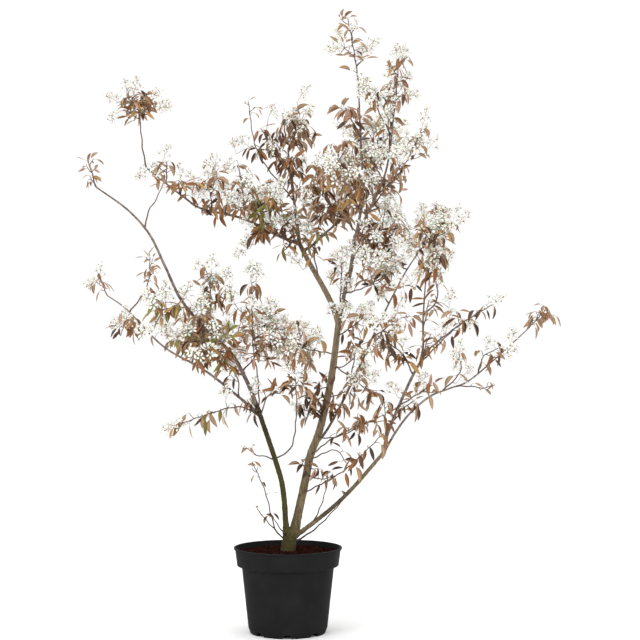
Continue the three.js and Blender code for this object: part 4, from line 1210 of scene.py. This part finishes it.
def turned_mesh(name, profile, sides):
    """A closed shape turned round +Z, from a first point on the axis to a last one."""
    points = [(0, 0, profile[0][1])]
    rings = []
    angles = [math.tau * k / sides for k in range(sides)]
    for radius, height in profile[1:-1]:
        rings.append(len(points))
        points += [(radius * math.cos(angle), radius * math.sin(angle), height) for angle in angles]
    points.append((0, 0, profile[-1][1]))
    faces = []
    for k in range(sides):
        after = (k + 1) % sides
        faces.append((0, rings[0] + after, rings[0] + k))
        for low, high in zip(rings, rings[1:]):
            faces.append((low + k, low + after, high + after, high + k))
        faces.append((len(points) - 1, rings[-1] + k, rings[-1] + after))
    mesh = mesh_of(name, points, faces)
    mesh.shade_smooth()
    return mesh


def heart_shape():
    """A flower's cup, filled with its stamens."""
    return turned_mesh("heart", [(0, -.12), (.1, .05), (.13, .18), (0, .27)], 5)


def bud_shape():
    """A flower bud still shut, standing along +Y."""
    bud = turned_mesh("bud", [(0, 0), (.15, .2), (.14, .45), (0, .72)], 6)
    bud.transform(Matrix.Rotation(-math.pi / 2, 4, "X"))
    return bud


def scattered_piece(name, spots, shapes, scale, slot, material, underside=None):
    """A piece of small shapes, one on each spot."""
    holder = placed_object("points of " + name, point_mesh(name, spots))
    shelf = shape_set(name, shapes)
    give_tree(holder, SCATTER, {"Shapes": shelf, "Scale": scale, "Material": material,
                                "Underside": underside or material})
    finished_piece(name, holder, slot)
    clear_away(shelf)


# Materials.

def linear(code):
    """An sRGB hex colour as linear red, green and blue."""
    channels = [int(code[i:i + 2], 16) / 255 for i in (1, 3, 5)]
    return [c / 12.92 if c <= .04045 else ((c + .055) / 1.055) ** 2.4 for c in channels] + [1.0]


def surface(name, colour, **sockets):
    """A material with the shader's constant values set on its own sockets."""
    made = bpy.data.materials.new(name)
    made.use_nodes = True
    shader = made.node_tree.nodes["Principled BSDF"]
    shader.inputs["Base Color"].default_value = linear(colour)
    for title, value in sockets.items():
        shader.inputs[title.replace("_", " ")].default_value = value
    return made, made.node_tree, shader


def leaf_material(name, colour):
    # A young leaf has a thin waxy skin: a soft gloss, broken by the sunken side veins, about ten to a leaf,
    # which slant forwards from the midrib.
    made, tree, shader = surface(name, colour, Roughness=.45, IOR=1.45)
    uv = add(tree, "ShaderNodeUVMap", uv_map="UVMap")
    across = add(tree, "ShaderNodeSeparateXYZ", {0: uv})
    offset = add(tree, "ShaderNodeMath", {0: across.outputs[0], 1: .5}, operation="SUBTRACT")
    away = add(tree, "ShaderNodeMath", {0: offset}, operation="ABSOLUTE")
    slant = add(tree, "ShaderNodeMath", {0: away, 1: -1.2, 2: across.outputs[1]}, operation="MULTIPLY_ADD")
    veins = add(tree, "ShaderNodeMath", {0: slant, 1: 60.0}, operation="MULTIPLY")
    ripple = add(tree, "ShaderNodeMath", {0: veins}, operation="SINE")
    relief = add(tree, "ShaderNodeBump", {"Height": ripple, "Strength": .35, "Distance": .0003})
    tree.links.new(relief.outputs[0], shader.inputs["Normal"])
    return made


def bark_material():
    # Smooth serviceberry bark: grey-brown skin streaked along the stem, green with algae low down. The
    # streaks are 4 mm wide and 30 mm long, the patches of algae 70 mm, and the lenticels 6 mm apart.
    made, tree, shader = surface("smooth_bark", "#6b5f4e", Roughness=.8, IOR=1.45, Specular_IOR_Level=.2)
    place = add(tree, "ShaderNodeTexCoord").outputs["Object"]
    across, _, up = add(tree, "ShaderNodeSeparateXYZ", {0: place}).outputs
    grain = add(tree, "ShaderNodeVectorMath", {0: place, 1: (1, 1, .12)}, operation="MULTIPLY")
    streaks = add(tree, "ShaderNodeTexNoise",
                  {"Vector": grain, "Scale": 260.0, "Detail": 4.0, "Roughness": .65}).outputs[0]
    clouds = add(tree, "ShaderNodeTexNoise", {"Vector": place, "Scale": 14.0, "Detail": 3.0}).outputs[0]
    lenticels = add(tree, "ShaderNodeTexVoronoi",
                    {"Vector": place, "Scale": 170.0, "Randomness": 1.0}).outputs[0]
    # Each share rises from the least to the most between two values of a pattern, or of a place in metres.
    shares = {}
    for name, read, first, last, least, most in (
            ("streak", streaks, .36, .66, 0.0, 1.0),
            ("patch", clouds, .38, .6, 0.0, 1.0),
            ("speck", lenticels, .2, .12, 0.0, .4),
            ("low", up, .62, .3, 0.0, .26),
            ("left", across, .03, -.01, 1.0, 2.6),
            ("high", up, .44, .6, 0.0, .16),
            ("right", across, -.01, .04, 0.0, 1.0),
            ("outer", across, .07, .1, 0.0, .7),
            ("under", up, .41, .35, 0.0, 1.0),
            ("splashed", up, .25, .212, 0.0, .75)):
        shares[name] = add(tree, "ShaderNodeMapRange", {"Value": read, "From Min": first, "From Max": last,
                                                        "To Min": least, "To Max": most})
    low = add(tree, "ShaderNodeMath", {0: shares["low"], 1: shares["patch"]}, operation="MULTIPLY")
    algae = add(tree, "ShaderNodeMath", {0: low, 1: shares["left"]}, operation="MULTIPLY", use_clamp=True)
    # Painted light: the upper stems to the right are made a lighter tan.
    painted_light = add(tree, "ShaderNodeMath", {0: shares["high"], 1: shares["right"]}, operation="MULTIPLY")
    # Painted shade: the whole left stem is made darker.
    shade = add(tree, "ShaderNodeMath", {0: shares["right"], 1: -.95, 2: .95}, operation="MULTIPLY_ADD")
    # Painted shade: the foot of the right stem is made darker.
    foot = add(tree, "ShaderNodeMath", {0: shares["outer"], 1: shares["under"]}, operation="MULTIPLY")
    # From the dark of the grain up: pale film, painted light (lighter tan on the upper right stems),
    # painted shade on the left stem and on the foot of the right stem, splashed soil, algae, and pale corky
    # specks.
    skin = linear("#4d412f")
    for share, colour in ((shares["streak"], "#897a60"), (painted_light, "#a8927a"), (shade, "#2c2614"),
                          (foot, "#3c3229"), (shares["splashed"], "#33241a"), (algae, "#4e4c1e"),
                          (shares["speck"], "#9b8c78")):
        layer = add(tree, "ShaderNodeMix", {"Factor": share, "A": skin, "B": linear(colour)},
                    data_type="RGBA")
        skin = layer.outputs[2]
    tree.links.new(skin, shader.inputs["Base Color"])
    relief = add(tree, "ShaderNodeBump", {"Height": streaks, "Strength": .6, "Distance": .0006})
    tree.links.new(relief.outputs[0], shader.inputs["Normal"])
    return made


def mottle(tree, shader, pattern, shares, dark, light, relief=None):
    """Mottles a skin between two colours by a noise on the piece, and embosses it by the same noise.
    Gives the place that the noise reads, and the noise."""
    place = add(tree, "ShaderNodeTexCoord").outputs["Object"]
    noise = add(tree, "ShaderNodeTexNoise", {"Vector": place, **pattern}).outputs[0]
    share = add(tree, "ShaderNodeMapRange", {"Value": noise, **shares})
    skin = add(tree, "ShaderNodeMix", {"Factor": share, "A": linear(dark), "B": linear(light)},
               data_type="RGBA")
    tree.links.new(skin.outputs[2], shader.inputs["Base Color"])
    if relief:
        bump = add(tree, "ShaderNodeBump", {"Height": noise, **relief})
        tree.links.new(bump.outputs[0], shader.inputs["Normal"])
    return place, noise


def young_bark_material():
    # Bark of two to four years: thin, red-brown under a silver-grey film that breaks into flakes of 11 mm.
    made, tree, shader = surface("young_bark", "#6f5f56", Roughness=.65, IOR=1.45)
    mottle(tree, shader, {"Scale": 90.0, "Detail": 4.0, "Roughness": .7}, {"From Min": .4, "From Max": .6},
           "#4c3b31", "#80736a", {"Strength": .4, "Distance": .0003})
    return made


def twig_material():
    # This year's and last year's twigs: waxy red-brown skin with a dull shine, mottled every 5 mm.
    made, tree, shader = surface("twig_skin", "#5c463c", Roughness=.5, IOR=1.48)
    mottle(tree, shader, {"Scale": 220.0, "Detail": 2.0}, {"From Min": .4, "From Max": .62},
           "#382922", "#675246")
    return made


def pot_material():
    # Injection-moulded black polypropylene, dulled by handling and dust in patches of 60 mm. Its eggshell
    # texture is a few tenths of a millimetre in the real one, and is drawn at 1 mm to show.
    made, tree, shader = surface("moulded_polypropylene", "#121213", Roughness=.55, IOR=1.49,
                                 Specular_IOR_Level=.015)
    place, dust = mottle(tree, shader, {"Scale": 16.0, "Detail": 5.0, "Roughness": .6},
                         {"From Min": .42, "From Max": .7, "To Max": .5}, "#1e1e1f", "#292827")
    dull = add(tree, "ShaderNodeMapRange", {"Value": dust, "From Min": .3, "From Max": .7,
                                            "To Min": .42, "To Max": .62})
    tree.links.new(dull.outputs[0], shader.inputs["Roughness"])
    grit = add(tree, "ShaderNodeTexNoise", {"Vector": place, "Scale": 900.0, "Detail": 2.0})
    relief = add(tree, "ShaderNodeBump", {"Height": grit, "Strength": .25, "Distance": .0002})
    tree.links.new(relief.outputs[0], shader.inputs["Normal"])
    return made


def mulch_material(name, dark, light):
    # Composted bark and peat, damp: nearly black red-brown, dull, with paler torn edges every 7 mm.
    made, tree, shader = surface(name, dark, Roughness=.9, IOR=1.4, Specular_IOR_Level=.02)
    mottle(tree, shader, {"Scale": 150.0, "Detail": 3.0, "Roughness": .7},
           {"From Min": .42, "From Max": .68}, dark, light, {"Strength": .8, "Distance": .001})
    return made


# Pot and potting mix.

def pot_profile():
    """The wall's section from the middle of the underside, out, up, over the lip and down the inside."""
    step_top = POT_HEIGHT - BAND_HEIGHT
    step_bottom = step_top - STEP_HEIGHT
    band_top = POT_RADIUS - LIP_OVERHANG
    band_bottom = band_top - BAND_TAPER
    body_top = band_bottom - BAND_STEP
    foot_top = FOOT_RADIUS + FOOT_CHAMFER_WIDTH
    ring_inner = FOOT_RADIUS - FOOT_RING_WIDTH
    disc_edge = CENTRE_DISC_RADIUS + FLOOR
    return [
        (0, 0), (CENTRE_DISC_RADIUS, 0), (disc_edge, RAISED_FLOOR), (ring_inner - FLOOR, RAISED_FLOOR),
        (ring_inner, 0), (FOOT_RADIUS, 0), (foot_top, FOOT_CHAMFER_HEIGHT), (body_top, step_bottom),
        (band_bottom, step_top), (band_top, POT_HEIGHT - LIP_HEIGHT), (POT_RADIUS, POT_HEIGHT - LIP_HEIGHT),
        (POT_RADIUS, POT_HEIGHT), (band_top - WALL, POT_HEIGHT), (band_bottom - WALL, step_top),
        (body_top - WALL, step_bottom), (foot_top - WALL, FOOT_CHAMFER_HEIGHT),
        (FOOT_RADIUS - FLOOR_DRAFT, FLOOR), (ring_inner + FLOOR_DRAFT, FLOOR),
        (ring_inner - FLOOR + FLOOR_DRAFT, RAISED_FLOOR + FLOOR),
        (disc_edge - FLOOR_DRAFT, RAISED_FLOOR + FLOOR), (CENTRE_DISC_RADIUS - FLOOR_DRAFT, FLOOR),
        (0, FLOOR),
    ]


def drain_cutter(angle):
    """An arched prism through the foot, from a little under it."""
    half = DRAIN_WIDTH / 2
    below = -.001
    arch = [(-half, below), (half, below)]
    arch += [(half * math.cos(a), DRAIN_SPRING + (DRAIN_HEIGHT - DRAIN_SPRING) * math.sin(a))
             for a in np.linspace(0, math.pi, 9)]
    inner = FOOT_RADIUS - FOOT_RING_WIDTH - 2 * FLOOR
    points = [(x, y, z) for y in (-inner, -POT_RADIUS) for x, z in arch]
    count = len(arch)
    faces = [tuple(range(count))[::-1], tuple(range(count, 2 * count))]
    faces += [(k, (k + 1) % count, count + (k + 1) % count, count + k) for k in range(count)]
    mesh = mesh_of("drain", points, faces)
    mesh.transform(Matrix.Rotation(angle, 4, "Z"))
    return mesh


def build_pot():
    """The turned shell with its drain slots cut through the foot and its edges rounded."""
    body = placed_object("pot blank", turned_mesh("pot blank", pot_profile(), POT_SIDES))
    body.data.shade_flat()
    cutters = shape_set("drain", [drain_cutter(math.tau * i / DRAIN_COUNT) for i in range(DRAIN_COUNT)])
    bpy.context.scene.collection.children.link(cutters)
    cut = body.modifiers.new("drains", "BOOLEAN")
    cut.operation = "DIFFERENCE"
    cut.operand_type = "COLLECTION"
    cut.collection = cutters
    cut.solver = "EXACT"
    soften = body.modifiers.new("rounding", "BEVEL")
    soften.width = POT_ROUNDING
    soften.segments = 3
    soften.limit_method = "ANGLE"
    soften.angle_limit = POT_SHARP_CORNER
    pot = finished_piece("moulded_pot", body, "pot", "pot")
    clear_away(cutters)
    pot.data.materials.clear()
    pot.data.materials.append(pot_material())
    pot.data.shade_smooth()


def soil_height(radius):
    """The mix is level round the stump and falls away towards the wall."""
    edge = POT_RADIUS - LIP_OVERHANG - BAND_TAPER
    beyond = max(0, (radius - SOIL_SEAT_RADIUS) / (edge - SOIL_SEAT_RADIUS))
    return SOIL_LEVEL - SOIL_FALL * beyond**2


def build_potting_mix():
    """The potting mix: its solid's outline with a rough top."""
    low = POT_RADIUS - LIP_OVERHANG - BAND_TAPER - BAND_STEP - WALL - SOIL_CLEARANCE
    profile = [(0, SOIL_FOOT), (SOIL_FOOT_RADIUS, SOIL_FOOT),
               (low, POT_HEIGHT - BAND_HEIGHT - STEP_HEIGHT), (low + BAND_STEP, POT_HEIGHT - BAND_HEIGHT)]
    profile += [(radius, soil_height(radius))
                for radius in np.linspace(SOIL_RADIUS, SOIL_INNER_RING, SOIL_RINGS)]
    profile += [(0, SOIL_LEVEL)]
    holder = placed_object("mix", turned_mesh("mix", profile, SOIL_SIDES))
    mix = mulch_material("damp_potting_mix", "#0d0404", "#24100c")
    give_tree(holder, RELIEF,
              {"Ridge": SOIL_GRAIN, "Depth": SOIL_ROUGHNESS, "Foot": 1.0, "Material": mix})
    finished_piece("potting_mix", holder, "soil", "soil")


def build_bark_chips():
    """Loose chips, lying nearly flat all over the mix but where the stump stands."""
    random = seeded(CHIP_SEED)
    spots = []
    for _ in range(CHIP_COUNT):
        radius = (SOIL_RADIUS - .6 * CHIP_LENGTH) * math.sqrt(random())
        angle = math.tau * random()
        tilt = around(UP, math.tau * random(), CHIP_TILT * random())
        if radius < STUMP_RADIUS + .001:
            continue
        height = soil_height(radius) + CHIP_LIFT
        place = np.array((radius * math.cos(angle), radius * math.sin(angle), height))
        along = around(UP, math.tau * random())
        size = .35 + .75 * random()**2
        spots.append((place, turn_to(along + .3 * tilt, UP + tilt), size, int(random() * 3)))
    chips = mulch_material("bark_chips", "#1a0906", "#47211a")
    scattered_piece("loose_bark_chips", spots, chip_shapes(), CHIP_LENGTH, "soil", chips)


def chip_shapes():
    """Three torn chips of bark: flat, pointed and bent."""
    outlines = (
        [(.12, .16), (.4, .22), (.8, .12)],
        [(.08, .08), (.35, .13), (.9, .15)],
        [(.2, .26), (.5, .3), (.85, .2)],
    )
    return [blade_mesh(f"chip_{i}", outline, fold=.15 * i, droop=.08 * i, twist=.3, thickness=.06)
            for i, outline in enumerate(outlines)]


def place_studio():
    """A wide pale floor that curves up into a pale wall far behind, soft lights and an even white sky."""
    section = [(-FLOOR_REACH, 0)]
    section += [(FLOOR_REACH - FLOOR_BEND * (1 - math.sin(a)), FLOOR_BEND * (1 - math.cos(a)))
                for a in np.linspace(0, math.pi / 2, BEND_STEPS)]
    section += [(FLOOR_REACH, WALL_HEIGHT)]
    points = [(x, y, z) for y, z in section for x in (-FLOOR_REACH, FLOOR_REACH)]
    faces = [(2 * k, 2 * k + 1, 2 * k + 3, 2 * k + 2) for k in range(len(section) - 1)]
    mesh = mesh_of("studio_floor", points, faces)
    mesh.shade_smooth()
    floor = placed_object("studio_floor", mesh)
    # Matt background paper, rolled out white.
    paper, _, _ = surface("white_paper_sweep", "#fefefe", Roughness=.95)
    mesh.materials.append(paper)
    aim = Vector((0, 0, AIM_HEIGHT))
    for name, place, size, power in LIGHTS:
        lamp = bpy.data.lights.new(name, "AREA")
        lamp.size = size
        lamp.energy = power
        light = placed_object(name, lamp)
        light.location = place
        light.rotation_euler = (aim - Vector(place)).to_track_quat("-Z", "Y").to_euler()
    world = bpy.data.worlds.new("studio")
    world.use_nodes = True
    sky = world.node_tree.nodes["Background"]
    sky.inputs["Color"].default_value = (1, 1, 1, 1)
    sky.inputs["Strength"].default_value = 1.0
    bpy.context.scene.world = world
    bpy.context.scene.view_settings.view_transform = "Standard"


def place_camera():
    """Level with the middle of the plant, far enough back for the photograph's slight perspective."""
    lens = bpy.data.cameras.new("camera")
    lens.sensor_width = 36
    lens.lens = lens.sensor_width * CAMERA_DISTANCE / VIEW_WIDTH
    camera = placed_object("camera", lens)
    camera.location = (CAMERA_X, -CAMERA_DISTANCE, CAMERA_HEIGHT)
    camera.rotation_euler = (math.pi / 2, 0, 0)
    bpy.context.scene.camera = camera


def swept_lines(kind, sides, material):
    """All lines of a kind, with the tree on them that sweeps them round."""
    holder = placed_object(kind, line_mesh(kind, LINES[kind]))
    give_tree(holder, SWEEP, {"Sides": sides, "Material": material})
    return holder


def build_wood():
    """The stump and the thick stems fused into one skin, with the roots of the boughs that leave them."""
    bark = bark_material()
    holder = swept_lines("wood", STEM_SIDES, bark)
    # The remesh leaves steps of a voxel, which the smoothing takes off before the relief is raised.
    fuse = holder.modifiers.new("fuse", "REMESH")
    fuse.mode = "VOXEL"
    fuse.voxel_size = FUSE_VOXEL
    ease = holder.modifiers.new("ease", "SMOOTH")
    ease.factor = .5
    ease.iterations = 4
    give_tree(holder, RELIEF, {"Ridge": BARK_RIDGE, "Depth": BARK_DEPTH, "Foot": BARK_DEPTH_AT_FOOT,
                               "Material": bark})
    finished_piece("stump_and_stems", holder, "bark", "stump", *[row.name for row in LIMBS if fused(row)])


def build_boughs():
    """The boughs that are thinner than the fused wood, with the relief of young bark."""
    bark = young_bark_material()
    holder = swept_lines("boughs", BOUGH_SIDES, bark)
    give_tree(holder, RELIEF, {"Ridge": YOUNG_RIDGE, "Depth": YOUNG_DEPTH, "Foot": 1.0, "Material": bark})
    finished_piece("boughs_with_bark", holder, "bark", *[row.name for row in LIMBS if not fused(row)])


def build_twigs():
    """All stems of sprays and shoots with their twigs, which stand for the sprays' solids."""
    holder = swept_lines("twigs", TWIG_SIDES, twig_material())
    finished_piece("leafy_twigs", holder, "foliage", *[row.name for row in SPRAYS])


def build_stalks():
    # Petioles and flower stalks: green flushed with red, slightly downy.
    down, _, _ = surface("downy_stalk", "#a08d6b", Roughness=.7, IOR=1.4)
    finished_piece("petioles_and_flower_stalks", swept_lines("stalks", STALK_SIDES, down), "foliage")


def build_leaves():
    """The leaves, a piece for each tint."""
    # The underside is paler and downy, and hardly shines.
    down, _, _ = surface("leaf_underside_down", "#ae8d6d", Roughness=.8, IOR=1.4)
    for tint, spots in LEAVES.items():
        skin = leaf_material(f"{tint}_leaf_skin", LEAF_COLOURS[tint])
        scattered_piece(f"{tint}_leaves", spots, leaf_shapes(), LEAF_LENGTH, "foliage", skin, down)


def build_flowers():
    """The petals in two pieces, for the number of their faces, then the flowers' hearts and the buds."""
    # Petal tissue is full of air: matt white with a faint warm cast and a little light through it.
    petals, _, _ = surface("petal_tissue", "#fdfaf0", Roughness=.6, IOR=1.4, Subsurface_Weight=.3,
                           Subsurface_Scale=.002)
    half = len(FLOWERS) // 2
    for name, spots in (("left", FLOWERS[:half]), ("right", FLOWERS[half:])):
        scattered_piece(f"petals_{name}", spots, petal_shapes(), PETAL_LENGTH, "foliage", petals)
    # The flower's cup and stamens: olive brown, dull.
    heart, _, _ = surface("stamens_and_cup", "#7f7453", Roughness=.8)
    hearts = [(place, turn, size, 0) for place, turn, size, _ in FLOWERS]
    scattered_piece("flower_hearts", hearts, [heart_shape()], PETAL_LENGTH, "foliage", heart)
    # A shut bud: petals rolled in their down, blushed.
    shut, _, _ = surface("shut_bud", "#d9c8bb", Roughness=.6)
    scattered_piece("shut_buds", BUDS, [bud_shape()], PETAL_LENGTH, "foliage", shut)


place_camera()
place_studio()
grow_plant()
SWEEP = sweep_tree()
RELIEF = relief_tree()
SCATTER = scatter_tree()
build_wood()
build_boughs()
build_twigs()
build_stalks()
build_leaves()
build_flowers()
build_pot()
build_potting_mix()
build_bark_chips()

bpy.context.view_layer.update()
